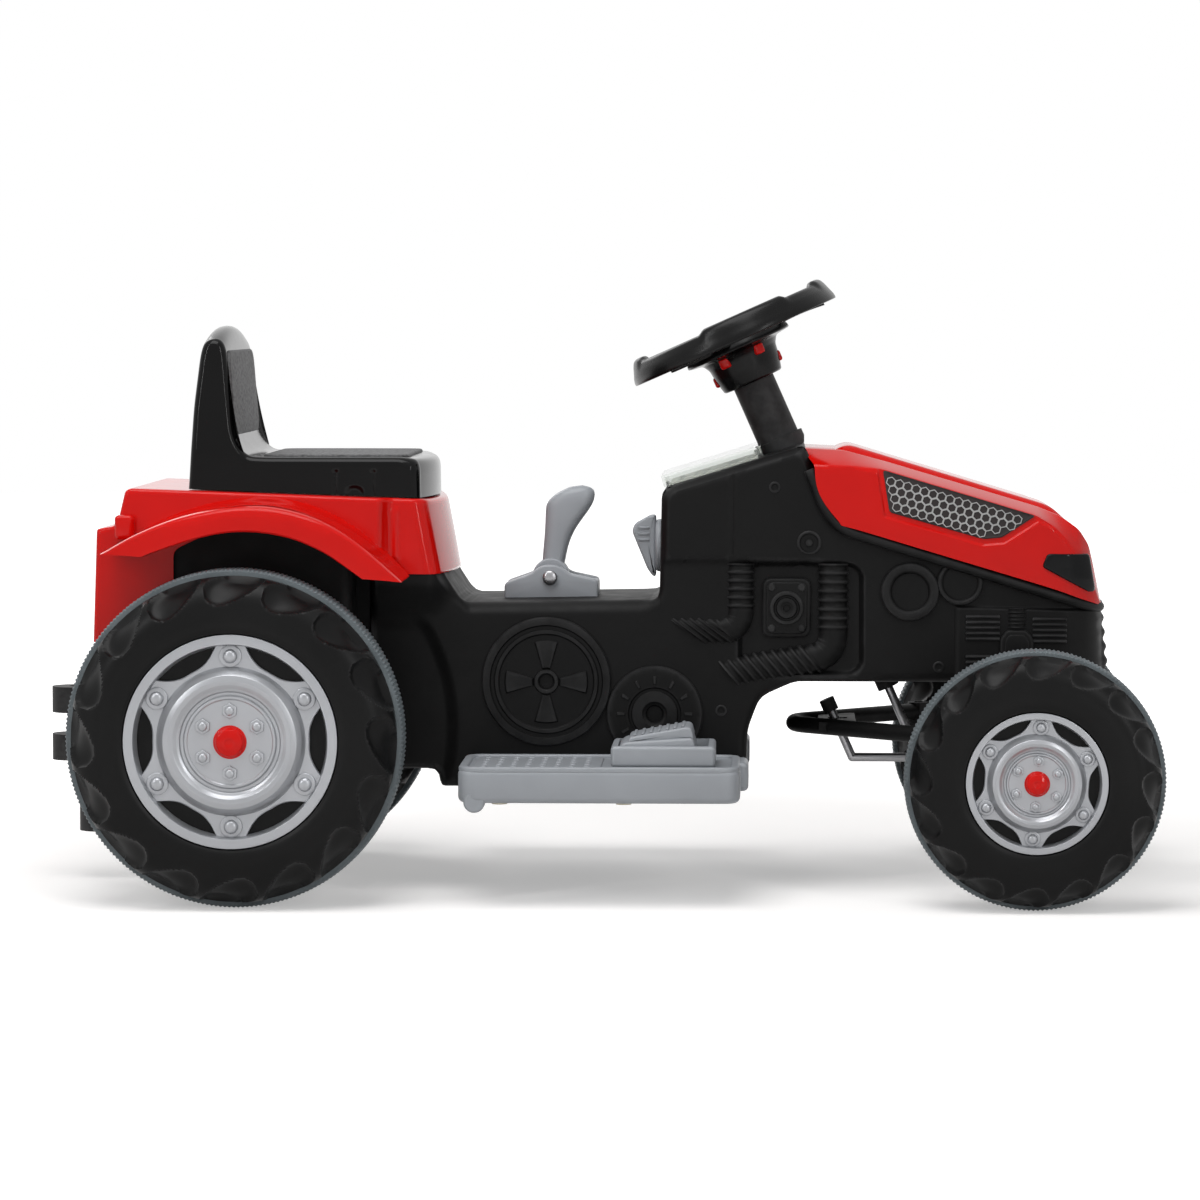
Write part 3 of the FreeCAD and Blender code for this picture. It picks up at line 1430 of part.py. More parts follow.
def gear_lever():
    handle = both_sides("lever_handle", [
        (f"{LEVER_X} - handle_neck", LEVER_Z),
        (f"{LEVER_X} - handle_neck", f"{LEVER_Z} + {NECK_SHARE} * handle_height"),
        (f"{LEVER_X} - handle_rear", f"{LEVER_Z} + handle_height - handle_head"),
        (f"{LEVER_X} + handle_front - handle_head", f"{LEVER_Z} + handle_height"),
        (f"{LEVER_X} + handle_front", f"{LEVER_Z} + handle_height - handle_head / 2"),
        (f"{LEVER_X} + handle_front", f"{LEVER_Z} + handle_height - handle_head"),
        (f"{LEVER_X} + handle_front - 2 * handle_head", f"{LEVER_Z} + {CHIN_SHARE} * handle_height"),
        (f"{LEVER_X} + handle_neck", f"{LEVER_Z} + {NECK_SHARE} * handle_height"),
        (f"{LEVER_X} + handle_neck", LEVER_Z),
    ], "lever_half_width")
    width = size("lever_half_width")
    rounded(handle, "handle_radius", lambda edge: (in_plane(edge, "y", width) or in_plane(edge, "y", -width))
            and not in_plane(edge, "z", size(LEVER_Z)))
    drum = across("lever_drum_radius", "lever_half_width", LEVER_X, LEVER_Z)
    hole = across("lever_pin_radius + running_gap", "lever_half_width + overrun", LEVER_X, LEVER_Z)
    keep("gear_lever", less(joined(handle, drum), hole))


# Dash: instrument card, clear lens and ignition knob

def on_dash(item):
    """Lays a piece on the sloping top of the dash."""
    return turned(item, fore("dash_rear"), "dash_rear_z", UPRIGHT_AXIS, f"-{SLOPE_ANGLE}")


def dash_card():
    card = on_dash(box(("card_start", "card_start + card_length"), ("-card_half_width", "card_half_width"),
                       ("0", "card_thickness")))
    keep("dash_card", less(card, collar_round("collar_radius + lens_margin", "lens_height")))


def dash_lens():
    edge = "(lens_margin - lens_wall)"
    outer = box(("card_start - lens_margin", "card_start + card_length + lens_margin"),
                ("-(card_half_width + lens_margin)", "card_half_width + lens_margin"), ("0", "lens_height"))
    space = box((f"card_start - {edge}", f"card_start + card_length + {edge}"),
                (f"-(card_half_width + {edge})", f"card_half_width + {edge}"),
                ("-overrun", "lens_height - lens_wall"))
    above = "2 * lens_height"
    inside = less(on_dash(space), collar_round("collar_radius + moving_gap + lens_wall", above))
    keep("dash_lens", less(on_dash(outer), inside, collar_round("collar_radius + moving_gap", above)))


KNOB_BACK_SHARES = (0.23, 0.91)
KNOB_SIDE_SHARES = (0.71, 0.46)


def ignition_knob():
    """Winged knob that turns on a shaft through the dash's rear wall."""
    face = f"({fore('dash_rear')} - moving_gap)"
    front = f"({face} - knob_base)"
    base = rod("knob_radius", "knob_base", front, "-knob_y", "knob_z", TO_X)
    shaft = rod("knob_shaft_radius", "knob_base + moving_gap + 2 * body_wall", front,
                "-knob_y", "knob_z", TO_X)
    wing = prism("knob_wing", "XZ_Plane", [
        (front, "knob_z + knob_wing_length"),
        (f"{front} - {KNOB_BACK_SHARES[0]} * knob_wing_depth", "knob_z + knob_wing_length"),
        (f"{front} - {KNOB_BACK_SHARES[1]} * knob_wing_depth",
         f"knob_z + {KNOB_SIDE_SHARES[0]} * knob_wing_length"),
        (f"{front} - knob_wing_depth", f"knob_z + {KNOB_SIDE_SHARES[1]} * knob_wing_length"),
        (f"{front} - {KNOB_BACK_SHARES[0]} * knob_wing_depth / 2", "knob_z - knob_wing_length"),
        (front, "knob_z - knob_wing_length"),
    ], "-knob_y - knob_wing_half", "-knob_y + knob_wing_half")
    keep("ignition_knob", joined(base, shaft, wing))


# Steering: made upright round its own axis, with the rim's centre at the origin, then tilted

RIM_PROFILE_SHARES = [(0, 0, 1), (0.05, 0, 0.6), (0.2, 0.6, 0), (0.4, 1, 0), (0.75, 1, 0), (0.95, 0.6, 0),
                      (1, 0, 0.5), (0.9, 0, 1)]
DRUM_TOP = "(hub_dip + hub_depth)"
DRUM_FOOT = f"({DRUM_TOP} + drum_height)"
CRANK_DEPTH = f"((steering_hub_z - {FRONT_Z}) / cos(column_tilt))"
CRANK_FOOT = f"({CRANK_DEPTH} - crank_offset * tan(column_tilt))"
CRANK_TOP = f"({CRANK_FOOT} - crank_pin_rise)"
FLOOR_DEPTH = "((steering_hub_z - front_floor_z) / cos(column_tilt))"
BUSH_FOOT = f"({FLOOR_DEPTH} + lower_bush_length / 2)"
DASH_DEPTH = (f"((steering_hub_z - dash_rear_z - (dash_rear - steering_hub) * {DASH_SLOPE})"
              f" / (cos(column_tilt) + {DASH_SLOPE} * sin(column_tilt)))")
TUBE_FOOT = f"({DASH_DEPTH} - tube_stop)"


def on_column(item):
    """Puts a piece of the steering on its tilted axis."""
    return turned(item, fore("steering_hub"), "steering_hub_z", UPRIGHT_AXIS, "-column_tilt")


def round_the_hub(make, count):
    """Copies of a shape turned evenly round the column axis."""
    return [turned(make(), "0", "0", V(0, 0, 1), f"{number} * 360 / {count}") for number in range(count)]


def lug_box(margin, travel, start, reach):
    """Square lug of the horn button, or the window that it moves in."""
    return box((start, reach), (f"-(lug_half + {margin})", f"lug_half + {margin}"),
               (f"-({DRUM_TOP} + lug_depth + lug_half + {margin} + {travel})",
                f"-({DRUM_TOP} + lug_depth - lug_half - {margin})"))


def steering_wheel():
    rim = new_body("rim")
    sketch = new_sketch(rim, "XZ_Plane")
    draw(sketch, [(f"wheel_radius - {inward} * rim_width", f"{up} * rim_rise - {down} * rim_drop")
                  for inward, up, down in RIM_PROFILE_SHARES])
    revolve(rim, sketch)
    hub = rod("hub_radius", "hub_depth", z=f"-{DRUM_TOP}")
    drum = cone("tube_radius + 2 * drum_wall", "drum_radius", "drum_height", f"-{DRUM_FOOT}")
    spokes = round_the_hub(lambda: box(("hub_radius - spoke_half_width", "wheel_radius - rim_width / 2"),
                                       ("-spoke_half_width", "spoke_half_width"),
                                       ("-(spoke_thickness + hub_dip)", "-hub_dip")),
                           int(SIZES["spoke_count"]))
    space = cone("tube_radius", "drum_radius - drum_wall", "drum_height - drum_wall",
                 f"-({DRUM_FOOT} - drum_wall)")
    throat = rod("button_radius + moving_gap", f"{DRUM_TOP} + overrun", z=f"-{DRUM_TOP} - overrun / 5")
    windows = round_the_hub(lambda: lug_box("window_margin", "button_travel", "button_radius / 2",
                                            "drum_radius + overrun"), int(SIZES["stud_count"]))
    hole = rod("rod_radius", "drum_wall + 2 * overrun", z=f"-{DRUM_FOOT} - overrun")
    keep("steering_wheel", on_column(less(joined(rim, hub, drum, *spokes), space, throat, *windows, hole)))


def horn_button():
    """Red button in the hub, with lugs that reach out through the drum's windows."""
    stem = rod("button_radius", f"{DRUM_TOP} + lug_depth + button_height", z=f"-({DRUM_TOP} + lug_depth)")
    lugs = round_the_hub(lambda: lug_box("0", "0", "button_radius / 2", "drum_radius + lug_proud"),
                         int(SIZES["stud_count"]))
    keep("horn_button", on_column(joined(stem, *lugs)))


def steering_tube():
    outer = rod("tube_radius", f"{TUBE_FOOT} - {DRUM_FOOT}", z=f"-{TUBE_FOOT}")
    bore = rod("rod_radius", f"{TUBE_FOOT} - {DRUM_FOOT} + 2 * overrun", z=f"-{TUBE_FOOT} - overrun")
    keep("steering_tube", on_column(less(outer, bore)))


def steering_rod():
    """Steel rod down the column, bent back under the body and up again as a crank pin."""
    shaft = rod("rod_radius", f"{CRANK_DEPTH} - {DRUM_FOOT} + drum_wall", z=f"-{CRANK_DEPTH}")
    run = rod("rod_radius", "crank_offset / cos(column_tilt)", z=f"-{CRANK_DEPTH}",
              turn=(UPRIGHT_AXIS, "column_tilt - 90"))
    pin = rod("rod_radius", "crank_pin_rise", "-crank_offset", z=f"-{CRANK_FOOT}")
    bends = [ball("rod_radius", z=f"-{CRANK_DEPTH}"), ball("rod_radius", "-crank_offset", z=f"-{CRANK_FOOT}")]
    keep("steering_rod", on_column(joined(shaft, run, pin, *bends)))


def crank_cap():
    cap = rod("crank_cap_radius", "crank_cap_height", "-crank_offset", z=f"-({CRANK_TOP} + crank_cap_grip)")
    hole = rod("rod_radius", "crank_cap_grip + overrun", "-crank_offset",
               z=f"-({CRANK_TOP} + crank_cap_grip + overrun)")
    keep("crank_cap", on_column(less(cap, hole)))


COLLAR_FOOT = f"({DASH_DEPTH} - collar_rise + collar_height)"


def collar_round(radius, extra="0"):
    """Cylinder on the column axis from inside the dash to the collar's top, or some way above it."""
    return on_column(rod(radius, f"collar_height + {extra}", z=f"-{COLLAR_FOOT}"))


def column_collar():
    """Ring that stands on the sloping dash and guides the column's tube."""
    seat = rod("tube_radius + running_gap", f"{TUBE_FOOT} + moving_gap", z=f"-({TUBE_FOOT} + moving_gap)")
    bore = rod("rod_radius + moving_gap", "2 * collar_height", z=f"-{COLLAR_FOOT} - overrun")
    width = ("-body_half_width", "body_half_width")
    dash = on_dash(box(("-overrun", "dash_rear"), width, ("-dash_rear", "0")))
    front = box((fore("hood_rear"), FRONT_X), width, ("0", "steering_hub_z"))
    keep("column_collar", less(collar_round("collar_radius"), on_column(joined(seat, bore)), dash, front))


def rod_space():
    """Hole in the dash for the steering rod."""
    return on_column(rod("rod_radius + moving_gap", "2 * collar_height", z=f"-{COLLAR_FOOT} - overrun"))


def lower_bush_space():
    """Hole in the body's floor that the lower bush fills."""
    return on_column(rod("lower_bush_radius", "lower_bush_length", z=f"-{BUSH_FOOT}"))


def lower_column_bush():
    bore = rod("rod_radius + running_gap", "lower_bush_length + 2 * overrun", z=f"-({BUSH_FOOT} + overrun)")
    outer = rod("lower_bush_radius", "lower_bush_length", z=f"-{BUSH_FOOT}")
    keep("lower_column_bush", on_column(less(outer, bore)))


# Front linkage: beam, kingpins, knuckles with stub axles, and the bent tie bar

EYE_X = fore("knuckle_arm")
TIE_Z = f"({FRONT_Z} + tie_height)"
CRANK_PIN_X = (f"({fore('steering_hub')} + (steering_hub_z - {TIE_Z}) * tan(column_tilt)"
               f" - crank_offset / cos(column_tilt))")
BEND_X = f"({CRANK_PIN_X} - tie_tail + tie_bend_radius)"
BEND_REACH = f"({EYE_X} - {BEND_X})"
BEND_HALF_ANGLE = (f"(atan({BEND_REACH} / kingpin_y)"
                   f" + asin(tie_bend_radius / sqrt(({BEND_REACH})^2 + kingpin_y^2)))")


def front_axle_beam():
    bottom = f"{FRONT_Z} + beam_bottom"
    bar = box((fore("beam_half_length"), ahead("beam_half_length")), ("-kingpin_y", "kingpin_y"),
              (bottom, "front_floor_z"))
    height = f"front_floor_z - ({bottom})"
    ends = ("-kingpin_y", "kingpin_y")
    bosses = [rod("beam_boss_radius", height, FRONT_X, y, bottom) for y in ends]
    holes = [rod("kingpin_radius", f"{height} + 2 * overrun", FRONT_X, y, f"{bottom} - overrun")
             for y in ends]
    keep("front_axle_beam", less(joined(bar, *bosses), *holes))


def kingpins():
    foot = f"({FRONT_Z} - kingpin_drop - moving_gap)"
    pins = []
    for sign in ("-", ""):
        shaft = rod("kingpin_radius", f"front_floor_z - {foot}", FRONT_X, f"{sign}kingpin_y", foot)
        head = rod("kingpin_head_radius", "kingpin_head_height", FRONT_X, f"{sign}kingpin_y",
                   f"{foot} - kingpin_head_height")
        pins.append(joined(shaft, head))
    keep("kingpins", group(*pins))


def knuckle(side):
    """Boss on the kingpin with the wheel's stub axle and a steering arm."""
    sign = "-" if side == "right" else ""
    y = f"{sign}kingpin_y"
    foot = f"({FRONT_Z} - kingpin_drop)"
    height = f"{FRONT_Z} + beam_bottom - moving_gap - {foot}"
    boss = rod("knuckle_boss_radius", height, FRONT_X, y, foot)
    bore = rod("kingpin_radius + running_gap", f"{height} + 2 * overrun", FRONT_X, y, f"{foot} - overrun")
    out = f"({axle_end('front')} - kingpin_y)"
    collar = "(track_half - front_wheel_width / 2 - kingpin_y - moving_gap)"
    stub_y, collar_y = (f"-{axle_end('front')}", f"-(kingpin_y + {collar})") if side == "right" else (y, y)
    stub = rod("front_axle_radius", out, FRONT_X, stub_y, FRONT_Z, TO_Y)
    shoulder = rod("stub_collar_radius", collar, FRONT_X, collar_y, FRONT_Z, TO_Y)
    arm = box((EYE_X, FRONT_X), (f"{y} - arm_half_width", f"{y} + arm_half_width"),
              (f"{FRONT_Z} + arm_bottom", f"{FRONT_Z} + arm_top"))
    eye = rod("tie_eye_radius", "arm_top - arm_bottom", EYE_X, y, f"{FRONT_Z} + arm_bottom")
    pin = rod("tie_pin_radius", "tie_height + tie_radius + 2 * tie_eye_rise - arm_bottom", EYE_X, y,
              f"{FRONT_Z} + arm_bottom")
    keep(f"knuckle_{side}", less(joined(boss, stub, shoulder, arm, eye, pin), bore))


def tie_bar():
    """Tube bent round behind the crank, with an eye at each end and a slotted bridge."""
    angle = math.radians(size(BEND_HALF_ANGLE))
    bend = doc.addObject("Part::Torus", "bend")
    bind(bend, Radius1="tie_bend_radius", Radius2="tie_radius", Angle3=f"2 * {BEND_HALF_ANGLE}")
    place(bend, BEND_X, z=TIE_Z, turn=(V(0, 0, 1), f"180 deg - {BEND_HALF_ANGLE}"))
    start_x = f"({BEND_X} - tie_bend_radius * cos({BEND_HALF_ANGLE}))"
    start_y = f"(tie_bend_radius * sin({BEND_HALF_ANGLE}))"
    length = f"sqrt(({EYE_X} - {start_x})^2 + (kingpin_y - {start_y})^2)"
    shapes = [bend]
    holes = []
    eye_z = f"({FRONT_Z} + arm_top + moving_gap)"
    for side, sign in ((-1, "-"), (1, "")):
        shapes.append(rod("tie_radius", length, start_x, f"{sign}{start_y}", TIE_Z,
                          (V(-side * math.cos(angle), math.sin(angle), 0), "90")))
        shapes.append(rod("tie_eye_radius", f"{TIE_Z} + tie_radius + tie_eye_rise - {eye_z}", EYE_X,
                          f"{sign}kingpin_y", eye_z))
        holes.append(rod("tie_pin_radius + tie_eye_gap", "2 * tie_height", EYE_X, f"{sign}kingpin_y",
                         f"{eye_z} - overrun"))
    half = f"({start_y} + ({CRANK_PIN_X} - {start_x}) / tan({BEND_HALF_ANGLE}))"
    ends = (f"{CRANK_PIN_X} - bridge_half_length", f"{CRANK_PIN_X} + bridge_half_length")
    bridge = box(ends, (f"-{half}", half),
                 (f"{TIE_Z} - bridge_thickness / 2", f"{TIE_Z} + bridge_thickness / 2"))
    slot = on_column(box(
        ("-crank_offset - rod_radius - slot_rear_gap", "-crank_offset + rod_radius + slot_front_gap"),
        ("-(rod_radius + slot_side_gap)", "rod_radius + slot_side_gap"), (f"-{CRANK_FOOT}", f"-{CRANK_TOP}")))
    keep("tie_bar", less(joined(*shapes, bridge), slot, *holes))


# Drive: motor, two-stage gear train on the left rear wheel, gearbox and battery

ADDENDUM_SHARE = 0.75
DEDENDUM_SHARE = 1.2
PRESSURE_ANGLE = math.radians(20)
FLANK_SHARES = (0, 0.35, 0.7, 1)
DRIVE_SPACING = "((drive_teeth + idler_small_teeth) * drive_module / 2)"
MOTOR_SPACING = "((idler_large_teeth + pinion_teeth) * pinion_module / 2)"
IDLER_X = f"({REAR_X} + {DRIVE_SPACING} * cos(idler_angle))"
IDLER_Z = f"({REAR_Z} + {DRIVE_SPACING} * sin(idler_angle))"
MOTOR_X = f"({IDLER_X} + {MOTOR_SPACING} * cos(motor_angle))"
MOTOR_Z = f"({IDLER_Z} + {MOTOR_SPACING} * sin(motor_angle))"
SECOND_Y = "(gear_y - gear_width - stage_gap)"


def involute(angle):
    return math.tan(angle) - angle


def gear(teeth, module, y, x, z, phase):
    """Spur gear with involute flanks; its first tooth points at the phase angle in the XZ plane."""
    count = int(size(teeth))
    pitch = size(f"{teeth} * {module} / 2")
    base = pitch * math.cos(PRESSURE_ANGLE)
    tip = pitch + ADDENDUM_SHARE * size(module)
    root = pitch - DEDENDUM_SHARE * size(module)
    half = math.pi / (2 * count) + involute(PRESSURE_ANGLE) - size("backlash") / (4 * pitch)
    foot = max(base, root)
    flank = [(r, half - involute(math.acos(min(1, base / r))))
             for r in (foot + share * (tip - foot) for share in FLANK_SHARES)]

    def point(radius, angle):
        return V(radius * math.cos(angle), size(y), radius * math.sin(angle))

    edges = []
    for number in range(count):
        middle = math.radians(phase) + 2 * math.pi * number / count
        following = middle + 2 * math.pi / count
        rise = Part.BSplineCurve()
        rise.interpolate([point(r, middle - turn) for r, turn in flank])
        fall = Part.BSplineCurve()
        fall.interpolate([point(r, middle + turn) for r, turn in reversed(flank)])
        low = flank[0][1]
        top = flank[-1][1]
        edges.append(rise.toShape())
        crest = [point(tip, middle - top), point(tip, middle), point(tip, middle + top)]
        edges.append(Part.Arc(*crest).toShape())
        edges.append(fall.toShape())
        floor = [point(root, middle + low), point(root, (middle + following) / 2),
                 point(root, following - low)]
        if foot > root:
            edges.append(Part.makeLine(point(foot, middle + low), floor[0]))
        edges.append(Part.Arc(*floor).toShape())
        if foot > root:
            edges.append(Part.makeLine(floor[2], point(foot, following - low)))
    item = doc.addObject("Part::Feature", "gear")
    item.Shape = Part.Face(Part.Wire(edges)).extrude(V(0, size("gear_width"), 0))
    return place(item, x, "0", z)


def meshing_phase(teeth, phase, line, mate_teeth):
    """Phase that sets a mate's gap on a gear's tooth along the line between their centres."""
    pitches = size(teeth) * (line - phase) / 360
    return line + 180 - 360 / size(mate_teeth) * (0.5 - pitches)


IDLER_PHASE = meshing_phase("drive_teeth", 0, size("idler_angle"), "idler_small_teeth")
PINION_PHASE = meshing_phase("idler_large_teeth", 0, size("motor_angle"), "pinion_teeth")


def drive_gear():
    """Output gear with the sleeve that turns the left rear wheel."""
    wheel_part = gear("drive_teeth", "drive_module", "gear_y", REAR_X, REAR_Z, 0)
    sleeve = rod("drive_sleeve_radius", f"{WHEEL_INNER_Y} - gear_y", REAR_X, "gear_y", REAR_Z, TO_Y)
    bore = rod("rear_axle_radius + running_gap", WHEEL_INNER_Y, REAR_X, "gear_y - overrun", REAR_Z, TO_Y)
    keep("drive_gear", less(joined(wheel_part, sleeve), bore))


def idler_gear():
    small = gear("idler_small_teeth", "drive_module", "gear_y", IDLER_X, IDLER_Z, IDLER_PHASE)
    large = gear("idler_large_teeth", "pinion_module", SECOND_Y, IDLER_X, IDLER_Z, 0)
    hub = rod("idler_pin_radius + stage_gap", "gear_width + stage_gap", IDLER_X, SECOND_Y, IDLER_Z, TO_Y)
    bore = rod("idler_pin_radius + running_gap", "3 * gear_width", IDLER_X,
               f"{SECOND_Y} - overrun", IDLER_Z, TO_Y)
    keep("idler_gear", less(joined(small, large, hub), bore))


CASE_LOW_Y = f"({SECOND_Y} - stage_gap)"
CASE_HIGH_Y = "(gear_y + gear_width + stage_gap)"


def motor_pinion():
    teeth = gear("pinion_teeth", "pinion_module", SECOND_Y, MOTOR_X, MOTOR_Z, PINION_PHASE)
    shaft = rod("pinion_shaft_radius", "motor_radius + gear_width", MOTOR_X,
                f"{SECOND_Y} - motor_radius", MOTOR_Z, TO_Y)
    keep("motor_pinion", joined(teeth, shaft))


CASE_MARGIN = "(case_gap + case_wall)"
CASE_X = (f"({REAR_X} - drive_teeth * drive_module / 2 - {ADDENDUM_SHARE} * drive_module - {CASE_MARGIN})",
          f"({MOTOR_X} + motor_radius)")
CASE_Z = (f"({REAR_Z} - drive_teeth * drive_module / 2 - {ADDENDUM_SHARE} * drive_module - {CASE_MARGIN})",
          f"({IDLER_Z} + (idler_large_teeth / 2 + {ADDENDUM_SHARE}) * pinion_module + {CASE_MARGIN})")


def gearbox_case():
    """Tray round the gears, carried on the axle, with the idler's pin."""
    outer = box(CASE_X, (f"{CASE_LOW_Y} - case_wall", CASE_HIGH_Y), CASE_Z)
    inner = box((f"{CASE_X[0]} + case_wall", f"{CASE_X[1]} - case_wall"),
                (CASE_LOW_Y, f"{CASE_HIGH_Y} + overrun"),
                (f"{CASE_Z[0]} + case_wall", f"{CASE_Z[1]} - case_wall"))
    depth = "case_wall + 2 * overrun"
    axle_hole = rod("rear_axle_radius", depth, REAR_X, f"{CASE_LOW_Y} - case_wall - overrun", REAR_Z, TO_Y)
    shaft_hole = rod("pinion_shaft_radius + moving_gap", depth, MOTOR_X,
                     f"{CASE_LOW_Y} - case_wall - overrun", MOTOR_Z, TO_Y)
    pin = rod("idler_pin_radius", f"{CASE_HIGH_Y} - {CASE_LOW_Y} + case_wall", IDLER_X,
              f"{CASE_LOW_Y} - case_wall", IDLER_Z, TO_Y)
    keep("gearbox_case", joined(less(outer, inner, axle_hole, shaft_hole), pin))


def gearbox_cover():
    plate = box(CASE_X, (CASE_HIGH_Y, f"{CASE_HIGH_Y} + case_wall"), CASE_Z)
    hole = rod("drive_sleeve_radius + running_gap", "case_wall + 2 * overrun", REAR_X,
               f"{CASE_HIGH_Y} - overrun", REAR_Z, TO_Y)
    keep("gearbox_cover", less(plate, hole))


def motor():
    end = f"({CASE_LOW_Y} - case_wall)"
    can = rod("motor_radius", "motor_length", MOTOR_X, f"{end} - motor_length", MOTOR_Z, TO_Y)
    bore = rod("pinion_shaft_radius + running_gap", "2 * motor_radius", MOTOR_X,
               f"{end} - motor_radius", MOTOR_Z, TO_Y)
    keep("motor", less(can, bore))


def battery():
    rear = f"({BAY_REAR_X} + (bay_length - battery_length) / 2)"
    keep("battery", box((rear, f"{rear} + battery_length"), ("-battery_width / 2", "battery_width / 2"),
                        ("bay_floor_z", "bay_floor_z + battery_height")))


# Rear hitch: a plate with two drawbar lugs and a lower lug

def hitch_lug(inset, foot):
    """Lug with a round end, a given way in from the tractor's rearmost point."""
    round_x = f"(-{OVERALL_LENGTH} / 2 + {inset} + hitch_half_width)"
    bar = box((round_x, BODY_TAIL_X), ("-hitch_half_width", "hitch_half_width"),
              (foot, f"{foot} + lug_thickness"))
    return joined(bar, rod("hitch_half_width", "lug_thickness", round_x, "0", foot))


def rear_hitch():
    plate = box((f"{BODY_TAIL_X} - hitch_plate", BODY_TAIL_X),
                ("-hitch_half_width", "hitch_half_width"), ("foot_lug_z", "hitch_plate_top_z"))
    lugs = [hitch_lug("0", "upper_lug_z"), hitch_lug("0", "lower_lug_z")]
    lugs.append(hitch_lug("foot_lug_inset", "foot_lug_z"))
    hole = rod("hitch_bore_radius", "upper_lug_z + lug_thickness - lower_lug_z + 2 * overrun",
               f"-{OVERALL_LENGTH} / 2 + hitch_bore_inset", "0", "lower_lug_z - overrun")
    keep("rear_hitch", less(joined(plate, *lugs), hole))


# Build every sub-part, check it and write it out

wheels()
for make in (
        rear_axle, axle_bushes, main_body, rear_cover, hood, hood_grilles, headlights, seat_shell, seat_pads,
        footrest_screws, pedal_housing, pedal_pad, gear_bracket, gear_pin, gear_lever, dash_card, dash_lens,
        ignition_knob, steering_wheel, horn_button, steering_tube, steering_rod, crank_cap, column_collar,
        lower_column_bush, front_axle_beam, kingpins, tie_bar, drive_gear, idler_gear, motor_pinion,
        gearbox_case, gearbox_cover, motor, battery, rear_hitch):
    make()
for side in ("right", "left"):
    footrest(side)
    knuckle(side)
doc.recompute()

failed = [item.Label for item in doc.Objects if "Invalid" in item.State or "Error" in item.State]
failed += [name for name, item in pieces.items() if item.Shape.isNull() or not item.Shape.isValid()]
if failed:
    raise RuntimeError("failed: " + ", ".join(failed))

os.makedirs("parts", exist_ok=True)
for name, item in pieces.items():
    item.Shape.exportStep(f"parts/{name}.step")
    print(name, len(item.Shape.Solids), "solid", round(item.Shape.Volume))
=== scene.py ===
import math

import bmesh
import bpy
import numpy as np
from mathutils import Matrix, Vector


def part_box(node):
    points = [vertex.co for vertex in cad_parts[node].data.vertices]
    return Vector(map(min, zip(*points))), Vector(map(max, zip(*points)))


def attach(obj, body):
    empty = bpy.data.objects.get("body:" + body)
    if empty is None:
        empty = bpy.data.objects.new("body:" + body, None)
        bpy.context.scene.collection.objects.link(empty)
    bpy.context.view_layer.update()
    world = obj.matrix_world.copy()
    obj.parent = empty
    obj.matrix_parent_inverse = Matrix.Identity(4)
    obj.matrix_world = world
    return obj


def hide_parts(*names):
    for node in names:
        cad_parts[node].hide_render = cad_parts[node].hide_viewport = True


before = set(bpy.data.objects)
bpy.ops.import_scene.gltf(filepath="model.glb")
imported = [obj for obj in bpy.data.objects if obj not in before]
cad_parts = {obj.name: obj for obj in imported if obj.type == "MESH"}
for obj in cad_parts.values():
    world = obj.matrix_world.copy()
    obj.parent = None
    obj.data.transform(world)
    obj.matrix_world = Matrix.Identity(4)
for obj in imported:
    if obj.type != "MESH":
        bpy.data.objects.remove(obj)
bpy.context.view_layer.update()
scene = bpy.context.scene
scene.view_settings.view_transform = "Standard"

# Camera: square to the tractor's right side, a little ahead of its middle and level with the steering
# wheel, far enough away that the side shows almost without perspective.
camera_data = bpy.data.cameras.new("camera")
camera_data.sensor_width = 36
camera_data.lens = 139.97
camera_data.clip_end = 50
camera = bpy.data.objects.new("camera", camera_data)
camera.location = (0.1586, -4.3, 0.528)


def set_up(thing, target):
    """Links a camera or a lamp and turns it to look at a target."""
    look = Vector(target) - thing.location
    thing.rotation_euler = look.to_track_quat("-Z", "Y").to_euler()
    scene.collection.objects.link(thing)


set_up(camera, (0.00196, 0, 0.25987))
scene.camera = camera


class Wire:
    """One output of a material's nodes. Sums and products of wires and numbers add Math nodes."""

    def __init__(self, tree, socket=None):
        self.tree = tree
        self.socket = socket

    def node(self, kind, settings=None, sockets=None, output=0):
        """Adds a node of one kind, sets its settings, then fills its sockets with values or wires."""
        made = self.tree.nodes.new("ShaderNode" + kind)
        for name, value in (settings or {}).items():
            setattr(made, name, value)
        for name, value in (sockets or {}).items():
            if isinstance(value, Wire):
                self.tree.links.new(value.socket, made.inputs[name])
            else:
                made.inputs[name].default_value = value
        return Wire(self.tree, made.outputs[output] if len(made.outputs) else None)

    def math(self, operation, first, second=0.0):
        return self.node("Math", {"operation": operation}, {0: first, 1: second})

    def __add__(self, other):
        return self.math("ADD", self, other)

    def __radd__(self, other):
        return self.math("ADD", other, self)

    def __sub__(self, other):
        return self.math("SUBTRACT", self, other)

    def __rsub__(self, other):
        return self.math("SUBTRACT", other, self)

    def __mul__(self, other):
        return self.math("MULTIPLY", self, other)

    def __rmul__(self, other):
        return self.math("MULTIPLY", other, self)

    def __pow__(self, other):
        return self.math("POWER", self, other)

    def between(self, low, high):
        """0 below low, 1 above high and straight in between."""
        return self.node("MapRange", {"clamp": True}, {"Value": self, "From Min": low, "From Max": high})

    def tint(self, first, second):
        """Colour that goes from the first to the second as this value goes from 0 to 1."""
        first, second = (c if isinstance(c, Wire) else (*c, 1) for c in (first, second))
        return self.node("Mix", {"data_type": "RGBA"}, {"Factor": self, 6: first, 7: second}, output=2)

    def noise(self, scale, detail=2.0):
        """Soft noise at this place, with a given number of cells to the metre."""
        return self.node("TexNoise", None, {"Vector": self, "Scale": scale, "Detail": detail})

    def end(self, kind="Material"):
        """Ends a tree: its surface shows this wire."""
        self.node("Output" + kind, None, {"Surface": self})


